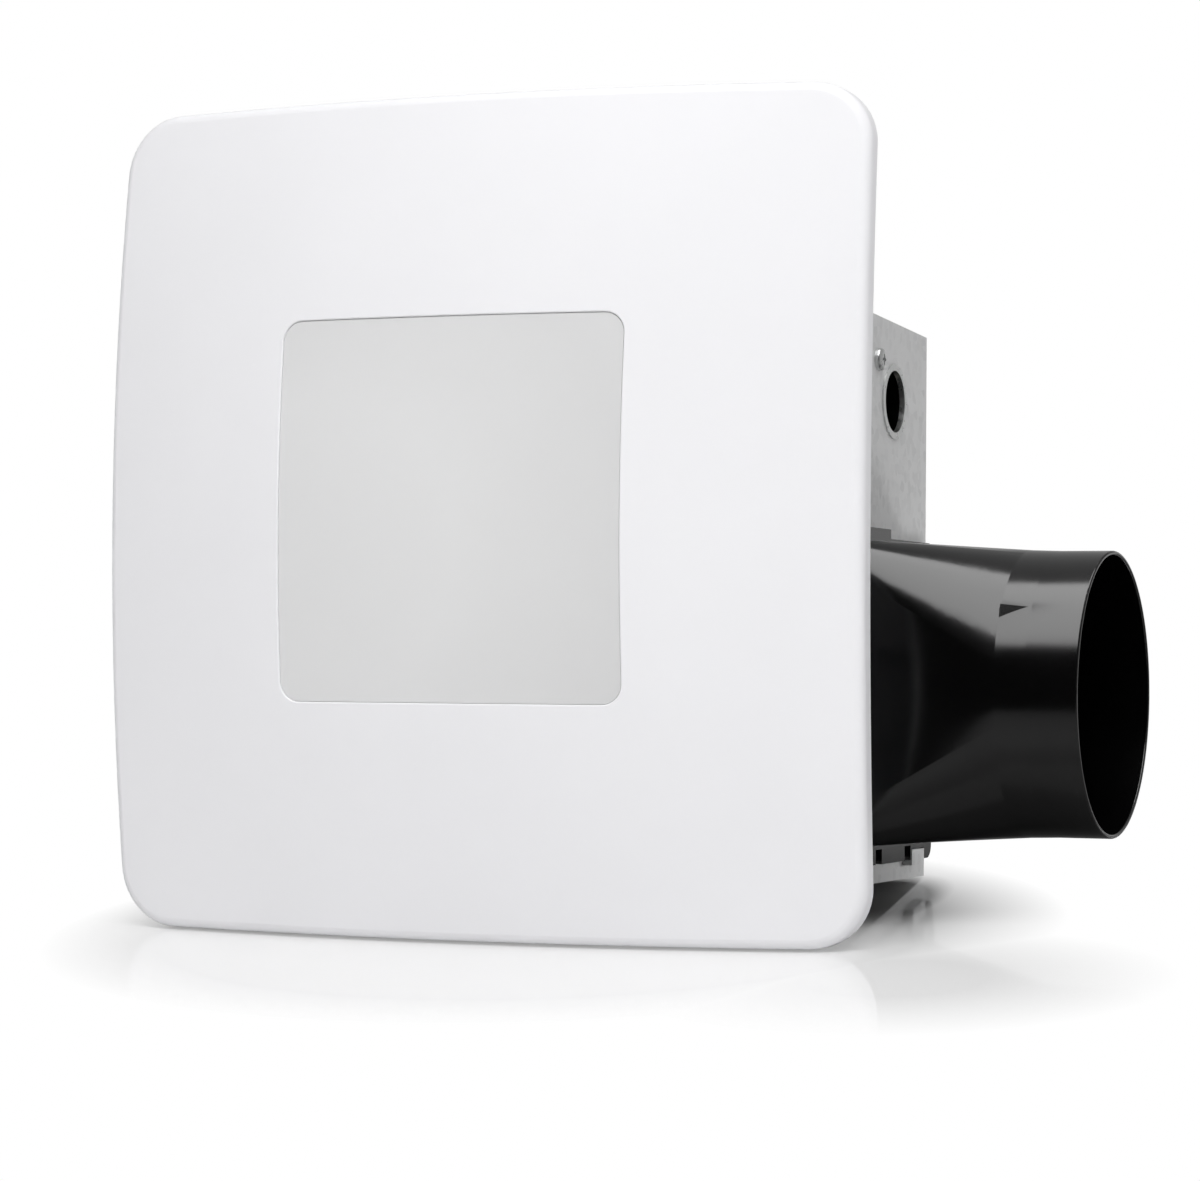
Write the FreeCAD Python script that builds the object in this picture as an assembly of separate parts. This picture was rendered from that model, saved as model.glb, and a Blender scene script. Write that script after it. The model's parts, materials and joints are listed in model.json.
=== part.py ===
import FreeCAD, Part
import math
import os

# Ceiling exhaust fan with a square light, as it stands in the picture.
# Millimetres. Origin: centre of the housing's mouth, on the ceiling plane.
# -Y is the room, +Y the space above the ceiling, +X the duct side, +Z up.

V = FreeCAD.Vector

# Housing: folded sheet steel box, open towards the room
housing_width = 220.0
housing_height = 206.0
housing_depth = 144.0
housing_sheet = 1.0
top_lean = 8.0
ear_width = 26.0
ear_height = 15.0
ear_spacing = 160.0
ear_hole_radius = 2.6
ear_hole_rise = 8.0
ear_round = 5.2
bead_radius = 6.0
bead_rise = 1.5
back_bead_length = 170.0
back_bead_offsets = (-75.0, 3.0, 76.0)
side_bead_start = 24.0
side_bead_end = 122.0
side_bead_offsets = (-62.0, -20.0, 22.0)

# Cover: shallow dome with a turned-in rim, clear of the ceiling along its sides
cover_width = 277.4
cover_height = 286.2
cover_bow = 1.1
cover_corner = 21.0
cover_rise = 23.5
cover_wall = 2.2
dome_edge = 20.0
dome_corner = 31.0
dome_reach = 1.1
rim_depth = 8.0
rim_round = 4.0
rib_inset = 16.0
rib_wall = 1.6
rib_height = 4.5
rib_count = 5
rib_spacing = 42.0
ceiling_gap = 1.0
cover_travel = 50.0

# Light: diffuser, lamp tray, board and driver, all carried by the cover
lens_width = 125.8
lens_height = 130.0
lens_corner = 7.0
lens_shift = -2.3
lens_rise = 1.8
lens_gap = 0.15
window_round = 0.5
lens_recess = 0.6
lens_lip = 3.0
lens_lip_wall = 1.5
gasket_least = 0.6
gasket_width = 4.0
tray_margin = 2.4
tray_depth = 19.0
tray_sheet = 0.8
tray_tab_reach = 10.0
tray_tab_width = 16.0
tray_boss_radius = 4.2
board_margin = 6.0
board_thickness = 1.6
chip_rows = 6
chip_size = 3.0
chip_height = 0.8
driver_width = 80.0
driver_height = 34.0
driver_depth = 15.0
driver_round = 3.0

# Cover springs: two-armed wire springs, one on each side
spring_rise = 40.0
spring_inset = 7.5
spring_y = -14.0
spring_coil_radius = 6.0
spring_wire = 2.0
spring_turns = 2
spring_pitch = 2.6
spring_spread = 9.0
spring_arm = 76.0
spring_hook = 6.0
spring_bend = 2.7
spring_clearance = 0.3
post_cheek = 3.0
post_half = 7.0
tab_y = 4.0
tab_margin = 2.0
tab_end = 6.0

# Outlet: duct adapter from a square throat to a round collar
duct_y = 72.0
duct_z = -35.4
throat_half = 45.5
throat_corner = 6.5
throat_wall = 2.5
throat_length = 15.0
collar_radius = 49.2
collar_root_radius = 49.5
collar_wall = 1.5
collar_lip_round = 0.6
collar_length = 28.8
collar_root_length = 10.6
transition_length = 57.9
transition_half = 53.0
transition_corner = 8.0
facet_angle = 13.2
adapter_wall = 2.5
flange_margin = 16.6
flange_margin_up = 1.4
flange_margin_down = 7.6
flange_corner = 5.0
flange_thickness = 2.5
flange_screw_gap = 0.5
flange_screw_head = 2.6
flange_screw_tail = 2.0
flange_screw_turn = 30.0
flange_slot_width = 7.0
flange_slot_height = 5.3
flange_slot_offsets = (8.0, 41.3)
flange_notch_width = 15.0
flange_notch_height = 4.0
flange_notch_offset = 53.8
lug_gap = 0.3
lug_drop = 2.0
hook_width = 30.0
hook_rise = 3.4
hook_offset = 5.0
adapter_gasket = 1.0
adapter_gasket_inset = 1.0
outlet_clearance = 1.0
stop_length = 14.1
stop_height = 1.6
stop_top_angle = 36.6
stop_low_angle = 23.6

# Damper: flap on a pin across the throat
flap_gap = 0.5
flap_thickness = 1.5
flap_corner = 6.0
flap_back_from_mouth = 6.0
flap_pin_offset = 20.0
flap_hub_radius = 3.4
pin_radius = 2.0
pin_fit = 0.02
pin_running = 0.05
ledge_depth = 4.0
ledge_thickness = 2.5
ledge_half = 30.0
ledge_gap = 0.3

# Blower: scroll, inlet plate and wheel
wheel_x = -18.0
wheel_radius = 55.0
wheel_front_y = 32.0
wheel_back_y = 114.0
wheel_rim_thickness = 2.0
blade_inner_radius = 44.0
blade_count = 36
blade_wall = 1.2
blade_sweep = 9.0
blade_bow_share = 0.2
cup_radius = 37.0
cup_wall = 1.5
hub_radius = 8.0
hub_length = 14.0
tongue_gap = 6.0
scroll_growth = 23.5
scroll_wall = 1.5
scroll_arcs = 4
scroll_low_angle = 270.0
scroll_end_gap = 0.5
inlet_radius = 43.5
inlet_lip = 1.5
inlet_gap = 1.0
post_radius = 5.0
post_circle_radius = 56.0
post_count = 4
post_screw_reach = 3.2
motor_hole_radius = 42.0

# Motor, hung on a round plate behind the scroll
motor_plate_radius = 48.0
motor_plate_sheet = 1.5
motor_radius = 33.0
motor_wall = 1.5
motor_front_y = 76.0
motor_stand_off = 6.0
shaft_radius = 3.0
shaft_front_y = 56.5
shaft_fit = 0.02
shaft_clearance = 1.0
shaft_tip = 0.5
bearing_radius = 7.0
bearing_length = 3.5
boss_wall = 2.5
rotor_radius = 20.0
air_gap = 0.6
core_length = 21.0
winding_length = 4.0
winding_inset = 1.4
stud_circle_radius = 26.0
stud_count = 3
stud_radius = 2.0
stud_turn = 90.0
stud_tail = 1.0
grommet_radius = 5.5
grommet_waist = 3.8
grommet_tail = 2.5
grommet_clearance = 0.1
nut_radius = 4.0
nut_height = 3.0
wheel_nut_radius = 6.0
wheel_nut_height = 3.0
plate_screw_circle_radius = 45.3
plate_screw_count = 3
plate_screw_turn = 10.0

# Wiring compartment in the upper corner on the duct side
wiring_x = 56.0
wiring_z = 28.0
wiring_y = 82.0
wiring_sheet = 0.8
wiring_tab_width = 14.0
wiring_tab_length = 12.0
wall_screw_y = 86.5
wall_screw_z = 82.5
knockout_y = 104.9
knockout_z = 68.8
knockout_radius = 11.1
bushing_wall = 1.2
bushing_flange_radius = 13.4
bushing_flange = 0.6
bushing_tail = 0.4
bushing_fit = 0.05
socket_width = 34.0
socket_height = 20.0
socket_depth = 12.0
socket_round = 2.0
socket_x = 79.0
socket_z = 80.0
socket_hole_width = 12.0
socket_hole_height = 9.0
socket_hole_depth = 8.0
socket_hole_spacing = 17.0
terminal_width = 30.0
terminal_height = 10.0
terminal_depth = 21.0
terminal_x = 83.0
terminal_gap = 0.2
terminal_round = 1.0
ground_x = 84.0
ground_z = 72.0
ground_tail = 1.0
liner_thickness = 0.5
liner_gap = 0.3
lead_radius = 2.2
gland_x = 10.0
gland_size = 12.0
gland_wall = 1.2
gland_round = 2.0
lead_grommet_radius = 3.8
lead_grommet_groove = 0.8
lead_grommet_length = 5.0
lead_fit = 0.05
capacitor_width = 24.0
capacitor_height = 20.0
capacitor_length = 42.0
capacitor_y = 58.0
capacitor_round = 3.0

# Fasteners
screw_radius = 1.6
screw_head_radius = 3.2
screw_head_height = 1.8
screw_head_round = 0.6
screw_clearance = 0.1
screw_reach = 4.0
wall_screw_head_radius = 4.0
wall_screw_head_height = 2.4

# How far cutters go past the faces that they cut, and the least round of a drawn corner
overcut = 1.0
least_round = 0.5

# Worked out from the sizes above
half_width = housing_width / 2
half_height = housing_height / 2
inner_x = half_width - housing_sheet
back_inner = housing_depth - housing_sheet
apex_y = -(dome_corner + rim_depth + ceiling_gap)
lens_x = lens_shift
lens_z = cover_rise + lens_rise
tongue_radius = wheel_radius + tongue_gap
wheel_z = duct_z - throat_half + tongue_radius + scroll_growth
scroll_front = duct_y - throat_half
scroll_back = duct_y + throat_half
plate_front = scroll_back + scroll_wall
plate_back = plate_front + motor_plate_sheet
motor_back_y = plate_front - motor_stand_off
gasket_x = half_width
flange_x = gasket_x + adapter_gasket
transition_x = flange_x + flange_thickness
collar_x = transition_x + transition_length
mouth_x = collar_x + collar_length
throat_x = flange_x - throat_length
scroll_end = throat_x - scroll_end_gap
flap_x = flange_x - flap_back_from_mouth
flap_half = throat_half - flap_gap
pin_y = duct_y + flap_pin_offset
spring_x = inner_x - spring_inset
spring_height = spring_turns * spring_pitch + spring_pitch / 2
flange_half = transition_half + flange_margin
flange_up = transition_half + flange_margin_up
flange_down = transition_half + flange_margin_down
terminal_z = wiring_z + wiring_sheet + terminal_gap + terminal_height / 2
lead_y = (plate_back + back_inner) / 2
tray_half_x = lens_width / 2 + lens_lip + tray_margin
tray_half_z = lens_height / 2 + lens_lip + tray_margin


def box(x0, x1, y0, y1, z0, z1):
    """Block between two corners."""
    return Part.makeBox(x1 - x0, y1 - y0, z1 - z0, V(x0, y0, z0))


def rod(radius, start, end):
    """Round bar from one point to another."""
    along = end - start
    return Part.makeCylinder(radius, along.Length, start, along)


def ring(inner, outer, start, end):
    """Round tube from one point to another."""
    return rod(outer, start, end).cut(rod(inner, start, end))


def edges_along(shape, axis):
    """Straight edges of a shape that run along an axis."""
    found = []
    for edge in shape.Edges:
        run = edge.lastVertex().Point - edge.firstVertex().Point
        if run.Length > 0 and abs(run.dot(axis)) > 0.999 * run.Length:
            found.append(edge)
    return found


def rounded_box(x0, x1, y0, y1, z0, z1, radius, axis):
    """Block whose four edges along an axis are rounded."""
    block = box(x0, x1, y0, y1, z0, z1)
    return block.makeFillet(radius, edges_along(block, axis))


def fuse(first, *others):
    """One solid from pieces that touch or cross."""
    return first.multiFuse(list(others)).removeSplitter()


def hexagon(radius, start, height_vector):
    """Six-sided nut blank, with its flat face at start and its axis along Y."""
    corners = []
    for step in range(7):
        angle = math.radians(60 * step)
        corners.append(start + V(radius * math.cos(angle), 0, radius * math.sin(angle)))
    return Part.Face(Part.makePolygon(corners)).extrude(height_vector)


def screw(seat, out, reach, head_radius=screw_head_radius, head_height=screw_head_height):
    """Pan head screw: the head stands on the seat, the shank goes the other way."""
    head = rod(head_radius, seat, seat + out * head_height)
    rim = [edge for edge in head.Edges if (edge.CenterOfMass - seat).dot(out) > 0.9 * head_height]
    head = head.makeFillet(screw_head_round * head_height, rim)
    return fuse(head, rod(screw_radius, seat - out * reach, seat))


def screw_hole(seat, out, reach):
    """Clearance hole for the shank of a screw."""
    return rod(screw_radius + screw_clearance, seat - out * reach, seat + out)


def polar(radius, degrees, y):
    """Point round the wheel's axis, measured from +X towards +Z."""
    angle = math.radians(degrees)
    return V(wheel_x + radius * math.cos(angle), y, wheel_z + radius * math.sin(angle))


def turned(points):
    """Solid of revolution about the wheel's axis, from (radius, depth) points."""
    corners = [V(wheel_x + radius, y, wheel_z) for radius, y in points]
    corners.append(corners[0])
    face = Part.Face(Part.makePolygon(corners))
    return face.revolve(V(wheel_x, 0, wheel_z), V(0, 1, 0), 360)


def top_z(y):
    """Outside height of the leaning top wall at a depth."""
    return half_height - top_lean * y / housing_depth


def prism_x(profile, x0, x1):
    """Extrusion along X of a (depth, height) outline."""
    corners = [V(x0, y, z) for y, z in profile]
    corners.append(corners[0])
    return Part.Face(Part.makePolygon(corners)).extrude(V(x1 - x0, 0, 0))


def dome_rise(x, z):
    """How far the dome falls back from its apex at a point of the cover."""
    across = (2 * x / cover_width) ** 2
    up = (2 * (z - cover_rise) / cover_height) ** 2
    twist = 2 * dome_edge - dome_corner
    return dome_edge * (across + up) - twist * across * up


def dome_block(shift, thickness):
    """Slab of even depth under the dome, its front face shifted back from the cover's."""
    weights = (dome_reach ** 2, -dome_reach ** 2, dome_reach ** 2)
    steps = (-dome_reach, 0, dome_reach)
    twist = 2 * dome_edge - dome_corner
    surface = Part.BezierSurface()
    surface.increase(2, 2)
    for row in range(3):
        for column in range(3):
            across = weights[row]
            up = weights[column]
            fall = dome_edge * (across + up) - twist * across * up
            pole = V(
                steps[row] * cover_width / 2,
                apex_y + shift + fall,
                cover_rise + steps[column] * cover_height / 2,
            )
            surface.setPole(row + 1, column + 1, pole)
    return surface.toShape().extrude(V(0, thickness, 0))


def bowed_prism(inset, y0, y1):
    """Cover outline, drawn in by an inset: four bowed sides and round corners."""
    half_w = cover_width / 2 - inset
    half_h = cover_height / 2 - inset
    corners = [V(half_w, y0, -half_h), V(half_w, y0, half_h)]
    corners += [V(-half_w, y0, half_h), V(-half_w, y0, -half_h)]
    middles = [V(half_w + cover_bow, y0, 0), V(0, y0, half_h + cover_bow)]
    middles += [V(-half_w - cover_bow, y0, 0), V(0, y0, -half_h - cover_bow)]
    centre = V(0, 0, cover_rise)
    sides = []
    for index in range(4):
        start = corners[index] + centre
        end = corners[(index + 1) % 4] + centre
        sides.append(Part.Arc(start, middles[index] + centre, end).toShape())
    block = Part.Face(Part.Wire(sides)).extrude(V(0, y1 - y0, 0))
    return block.makeFillet(cover_corner - inset, edges_along(block, V(0, 1, 0)))


def lens_prism(grow, y0, y1):
    """Square-cornered window of the light, grown on every side."""
    half_w = lens_width / 2 + grow
    half_h = lens_height / 2 + grow
    radius = max(lens_corner + grow, least_round)
    x0, x1 = lens_x - half_w, lens_x + half_w
    return rounded_box(x0, x1, y0, y1, lens_z - half_h, lens_z + half_h, radius, V(0, 1, 0))


def tray_tab_centres():
    """Middle of each screw tab of the lamp tray, in (x, z), with its outward direction."""
    reach = tray_tab_reach / 2
    return [
        (lens_x + tray_half_x + reach, lens_z, V(1, 0, 0)),
        (lens_x - tray_half_x - reach, lens_z, V(-1, 0, 0)),
        (lens_x, lens_z + tray_half_z + reach, V(0, 0, 1)),
        (lens_x, lens_z - tray_half_z - reach, V(0, 0, -1)),
    ]


def lens_back_corner():
    """Depth of the lens lip's back face at its corner, where it reaches furthest back."""
    x = abs(lens_x) + lens_width / 2 + lens_lip
    z = lens_z + lens_height / 2 + lens_lip
    return apex_y + dome_rise(x, z) + cover_wall + lens_lip_wall


tray_front = lens_back_corner() + gasket_least
tray_back = tray_front + tray_depth
board_back = tray_back - tray_sheet


def make_cover():
    """Domed front with its rim, window, spring posts and lamp bosses."""
    deep = rim_depth + dome_corner
    outline = bowed_prism(0, apex_y - overcut, apex_y + deep)
    shell = dome_block(0, rim_depth).common(outline)
    front = [edge for edge in shell.Edges if is_front_rim(edge)]
    shell = shell.makeFillet(rim_round, front)
    hollow = dome_block(cover_wall, deep).common(bowed_prism(cover_wall, apex_y, apex_y + 2 * deep))
    shell = shell.cut(hollow)
    behind = dome_block(cover_wall / 2, deep)
    studs = []
    for x, z, _ in tray_tab_centres():
        boss = rod(tray_boss_radius, V(x, apex_y, z), V(x, tray_front, z))
        hole = rod(screw_radius + screw_clearance, V(x, tray_front - screw_reach, z), V(x, tray_front, z))
        studs.append(boss.common(behind).cut(hole))
    for side in (-1, 1):
        studs += spring_post(side, behind)
    shell = fuse(shell, *(studs + cover_ribs()))
    shell = shell.cut(lens_prism(lens_gap, apex_y - overcut, apex_y + deep))
    window = [edge for edge in shell.Edges if is_front_rim(edge) and is_at_window(edge)]
    return shell.makeFillet(window_round, window)


def cover_ribs():
    """Stiffening ribs behind the cover: one all round and short ones from it to the rim."""
    slab = dome_block(cover_wall / 2, cover_wall / 2 + rib_height)
    far = apex_y + 2 * dome_corner
    hoop = bowed_prism(rib_inset, apex_y, far).cut(bowed_prism(rib_inset + rib_wall, apex_y, far))
    half = rib_wall / 2
    bars = []
    for step in range(rib_count):
        along = rib_spacing * (step - (rib_count - 1) / 2)
        for side in (-1, 1):
            x0, x1 = rib_ends(side, cover_width)
            z = cover_rise + along
            bars.append(box(x0, x1, apex_y, far, z - half, z + half))
            z0, z1 = rib_ends(side, cover_height)
            bars.append(box(along - half, along + half, apex_y, far, cover_rise + z0, cover_rise + z1))
    return slab.common(hoop.multiFuse(bars)).Solids


def rib_ends(side, size):
    """Where a short rib starts and ends on one side of the cover, the lower value first."""
    ends = [size / 2 - rib_inset - rib_wall / 2, size / 2 - cover_wall / 2]
    return sorted(side * end for end in ends)


def is_front_rim(edge):
    """True for the edges round the front of the cover's slab."""
    middle = edge.valueAt((edge.FirstParameter + edge.LastParameter) / 2)
    return abs(middle.y - apex_y - dome_rise(middle.x, middle.z)) < 0.2


def is_at_window(edge):
    """True for the edges round the opening of the light."""
    middle = edge.valueAt((edge.FirstParameter + edge.LastParameter) / 2)
    inside_x = abs(middle.x - lens_x) < lens_width / 2 + lens_lip
    inside_z = abs(middle.z - lens_z) < lens_height / 2 + lens_lip
    return inside_x and inside_z


def spring_post(side, behind):
    """Two cheeks and the pin between them that carry the coil of one spring."""
    x = side * spring_x
    inner = spring_height / 2 + spring_wire / 2 + spring_clearance
    outer = inner + post_cheek
    y0, y1 = apex_y, spring_y + post_half
    z0, z1 = spring_rise - post_half, spring_rise + post_half
    cheeks = [box(x + inner, x + outer, y0, y1, z0, z1), box(x - outer, x - inner, y0, y1, z0, z1)]
    radius = spring_coil_radius - spring_wire / 2 - spring_clearance
    pin = rod(radius, V(x - outer, spring_y, spring_rise), V(x + outer, spring_y, spring_rise))
    return [cheek.common(behind) for cheek in cheeks] + [pin]


def make_lens():
    """Diffuser: a window that fills the opening and a lip behind the cover."""
    depth = cover_wall - lens_recess + lens_lip_wall
    window = dome_block(lens_recess, depth).common(lens_prism(0, apex_y - overcut, 0))
    lip = dome_block(cover_wall, lens_lip_wall).common(lens_prism(lens_lip, apex_y - overcut, 0))
    return fuse(window, lip)


def make_lens_gasket():
    """Foam frame that fills the space between the lens lip and the flat tray."""
    frame = lens_prism(lens_lip, apex_y, tray_front)
    frame = frame.cut(lens_prism(lens_lip - gasket_width, apex_y, tray_front))
    return dome_block(cover_wall + lens_lip_wall, tray_depth + dome_corner).common(frame)


def make_tray():
    """Open pan behind the lens, with four screw tabs at its front."""
    x0, x1 = lens_x - tray_half_x, lens_x + tray_half_x
    z0, z1 = lens_z - tray_half_z, lens_z + tray_half_z
    pan = box(x0, x1, tray_front, tray_back, z0, z1)
    inside = box(
        x0 + tray_sheet, x1 - tray_sheet, tray_front - overcut, board_back, z0 + tray_sheet, z1 - tray_sheet
    )
    pan = pan.cut(inside)
    tabs = []
    half = tray_tab_width / 2
    for x, z, out in tray_tab_centres():
        reach_x = tray_tab_reach / 2 if out.x else half
        reach_z = tray_tab_reach / 2 if out.z else half
        tab = box(x - reach_x, x + reach_x, tray_front, tray_front + tray_sheet, z - reach_z, z + reach_z)
        tabs.append(tab)
    pan = fuse(pan, *tabs)
    for x, z, _ in tray_tab_centres():
        pan = pan.cut(screw_hole(V(x, tray_front + tray_sheet, z), V(0, 1, 0), screw_reach))
    return pan


def make_tray_screws():
    """One screw through each tab of the tray into its boss."""
    screws = []
    for x, z, _ in tray_tab_centres():
        screws.append(screw(V(x, tray_front + tray_sheet, z), V(0, 1, 0), screw_reach))
    return Part.makeCompound(screws)


def board_halves():
    """Half width and half height of the lamp board."""
    return tray_half_x - tray_sheet - board_margin, tray_half_z - tray_sheet - board_margin


def make_board():
    """Flat lamp board on the bottom of the tray."""
    half_w, half_h = board_halves()
    x0, x1 = lens_x - half_w, lens_x + half_w
    z0, z1 = lens_z - half_h, lens_z + half_h
    return rounded_box(x0, x1, board_back - board_thickness, board_back, z0, z1, lens_corner, V(0, 1, 0))


def make_chips():
    """Square grid of light chips on the board."""
    half_w, half_h = board_halves()
    chips = []
    y1 = board_back - board_thickness
    for row in range(chip_rows):
        for column in range(chip_rows):
            x = lens_x + half_w * (2 * (column + 0.5) / chip_rows - 1)
            z = lens_z + half_h * (2 * (row + 0.5) / chip_rows - 1)
            half = chip_size / 2
            chips.append(box(x - half, x + half, y1 - chip_height, y1, z - half, z + half))
    return Part.makeCompound(chips)


def make_driver():
    """Lamp driver case on the back of the tray."""
    x0, x1 = lens_x - driver_width / 2, lens_x + driver_width / 2
    z0, z1 = lens_z - driver_height / 2, lens_z + driver_height / 2
    return rounded_box(x0, x1, tray_back, tray_back + driver_depth, z0, z1, driver_round, V(0, 1, 0))


def arc_through(start, tangent, end):
    """Arc that leaves start along a tangent and reaches end."""
    chord = end - start
    along = chord * (1 / chord.Length)
    sideways = tangent - along * tangent.dot(along)
    turn = math.atan2(sideways.Length, tangent.dot(along))
    lift = sideways * (chord.Length / 2 * math.tan(turn / 2) / sideways.Length)
    return Part.Arc(start, start + chord * 0.5 + lift, end).toShape()


def biarc(start, leave, end, arrive):
    """Two arcs that join two points with their tangents."""
    span = end - start
    both = leave + arrive
    a = 2 * (leave.dot(arrive) - 1)
    b = -2 * span.dot(both)
    c = span.dot(span)
    reach = (-b - math.sqrt(b * b - 4 * a * c)) / (2 * a)
    joint = (start + end + (leave - arrive) * reach) * 0.5
    middle = joint - (start + leave * reach)
    middle = middle * (1 / middle.Length)
    return [arc_through(start, leave, joint), arc_through(joint, middle, end)]


def make_spring(side):
    """Wire spring: a coil on the post's pin and two arms that reach into the housing."""
    first = 180 + spring_spread
    last = 360 * (spring_turns + 1) - spring_spread
    quarters = 4 * spring_turns + 2
    rise = spring_height / math.radians(last - first)
    centre = V(side * spring_x, spring_y, spring_rise)

    def place(degrees):
        angle = math.radians(degrees)
        climb = rise * (angle - math.radians((first + last) / 2))
        return centre + V(climb, spring_coil_radius * math.sin(angle), spring_coil_radius * math.cos(angle))

    def heading(degrees):
        angle = math.radians(degrees)
        climb = 0 if degrees in (first, last) else rise
        run = V(climb, spring_coil_radius * math.cos(angle), -spring_coil_radius * math.sin(angle))
        return run * (1 / run.Length)

    turns = [first + (last - first) * step / quarters for step in range(quarters + 1)]
    edges = []
    for start, end in zip(turns, turns[1:]):
        edges += biarc(place(start), heading(start), place(end), heading(end))
    lower_end = place(first) - heading(first) * spring_arm
    upper_end = place(last) + heading(last) * spring_arm
    lower_hook = lower_end - V(0, 0, spring_hook)
    upper_hook = upper_end + V(0, 0, spring_hook)
    arms = [hooked_arm(place(first), lower_end, lower_hook), hooked_arm(place(last), upper_end, upper_hook)]
    path = Part.Wire(list(reversed(arms[0])) + edges + arms[1])
    report_self_gap(path)
    tip = path.OrderedVertexes[0].Point
    second = path.OrderedEdges[0]
    direction = second.tangentAt(second.FirstParameter)
    profile = Part.Wire(Part.makeCircle(spring_wire / 2, tip, direction))
    return path.makePipeShell([profile], True, False)


def hooked_arm(root, corner, tip):
    """Straight arm and short hook, joined by a tangent arc, from the coil outwards."""
    inward = (root - corner) * (1 / (root - corner).Length)
    outward = (tip - corner) * (1 / (tip - corner).Length)
    start = corner + inward * spring_bend
    end = corner + outward * spring_bend
    arc = arc_through(start, inward * -1, end)
    return [Part.LineSegment(root, start).toShape(), arc, Part.LineSegment(end, tip).toShape()]


def report_self_gap(path):
    """Print the least space between parts of the wire that are not neighbours."""
    step = spring_wire / 4
    points = path.discretize(Distance=step)
    skip = int(3 * spring_wire / step)
    least = min(
        (points[first] - points[second]).Length
        for first in range(len(points))
        for second in range(first + skip, len(points))
    )
    print("cover spring: least gap to itself %.2f mm" % (least - spring_wire))


def make_housing():
    """Box with mounting ears, spring tabs and the openings in its walls."""
    outside = [(0, -half_height), (housing_depth, -half_height)]
    outside += [(housing_depth, top_z(housing_depth)), (0, top_z(0))]
    floor = -half_height + housing_sheet
    inside = [(-overcut, floor), (back_inner, floor)]
    inside += [(back_inner, top_z(back_inner) - housing_sheet)]
    inside += [(-overcut, top_z(-overcut) - housing_sheet)]
    shell = prism_x(outside, -half_width, half_width).cut(prism_x(inside, -inner_x, inner_x))
    shell = fuse(shell, flange_lug(), *(mounting_ears() + spring_tabs() + stiffening_beads()))
    hole_half = throat_half + throat_wall + outlet_clearance
    opening = rounded_box(
        inner_x - overcut, half_width + overcut, duct_y - hole_half, duct_y + hole_half,
        duct_z - hole_half, duct_z + hole_half, throat_corner + throat_wall, V(1, 0, 0),
    )
    shell = shell.cut(opening)
    entry = knockout_radius + bushing_wall
    shell = shell.cut(rod(entry, knockout_point(inner_x - overcut), knockout_point(half_width + overcut)))
    spare = rod(knockout_radius, knockout_point(-half_width - overcut), knockout_point(-inner_x + overcut))
    shell = shell.cut(spare)
    shell = shell.cut(screw_hole(wall_screw_seat(), V(1, 0, 0), screw_reach))
    for seat in flange_screw_seats():
        shell = shell.cut(screw_hole(seat, V(1, 0, 0), flange_screw_reach()))
    for seat in scroll_screw_seats():
        shell = shell.cut(screw_hole(seat, V(0, 1, 0), 2 * housing_sheet))
    ground = V(ground_x, back_inner, ground_z)
    return shell.cut(screw_hole(ground, V(0, -1, 0), screw_reach))


def stiffening_beads():
    """Pressed ridges on the back wall and on the wall opposite the duct."""
    sink = bead_radius - bead_rise
    reach = back_bead_length / 2 - bead_radius
    behind = box(-half_width, half_width, back_inner, 2 * housing_depth, -half_height, half_height)
    beside = box(-housing_width, -inner_x, 0, housing_depth, -half_height, half_height)
    beads = []
    for z in back_bead_offsets:
        y = housing_depth - sink
        bead = capsule(V(-reach, y, z), V(reach, y, z))
        beads.append(bead.common(behind))
    for z in side_bead_offsets:
        x = -half_width + sink
        bead = capsule(V(x, side_bead_start, z), V(x, side_bead_end, z))
        beads.append(bead.common(beside))
    return beads


def capsule(start, end):
    """Round bar with ball ends."""
    balls = [Part.makeSphere(bead_radius, start), Part.makeSphere(bead_radius, end)]
    return fuse(rod(bead_radius, start, end), *balls)


def flange_lug():
    """Lug on the duct-side wall that stands in the notch of the adapter's flange and locates it."""
    y = duct_y + flange_notch_offset
    half = flange_notch_width / 2 - lug_gap
    low = duct_z - flange_down
    return box(inner_x, transition_x, y - half, y + half, low - lug_drop, low + flange_notch_height - lug_gap)


def mounting_ears():
    """Four ears folded out at the mouth, each with a screw hole."""
    ears = []
    for x in (-ear_spacing / 2, ear_spacing / 2):
        for side in (-1, 1):
            root = side * (half_height - housing_sheet)
            tip = side * (half_height + ear_height)
            z0, z1 = min(root, tip), max(root, tip)
            ear = rounded_ear(x, z0, z1, side)
            hole_z = side * (half_height + ear_hole_rise)
            hole = rod(ear_hole_radius, V(x, -overcut, hole_z), V(x, housing_sheet + overcut, hole_z))
            ears.append(ear.cut(hole))
    return ears


def rounded_ear(x, z0, z1, side):
    """Ear plate with its two free corners rounded."""
    plate = box(x - ear_width / 2, x + ear_width / 2, 0, housing_sheet, z0, z1)
    free = []
    for edge in edges_along(plate, V(0, 1, 0)):
        if edge.CenterOfMass.z * side > half_height:
            free.append(edge)
    return plate.makeFillet(ear_round, free)


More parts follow.
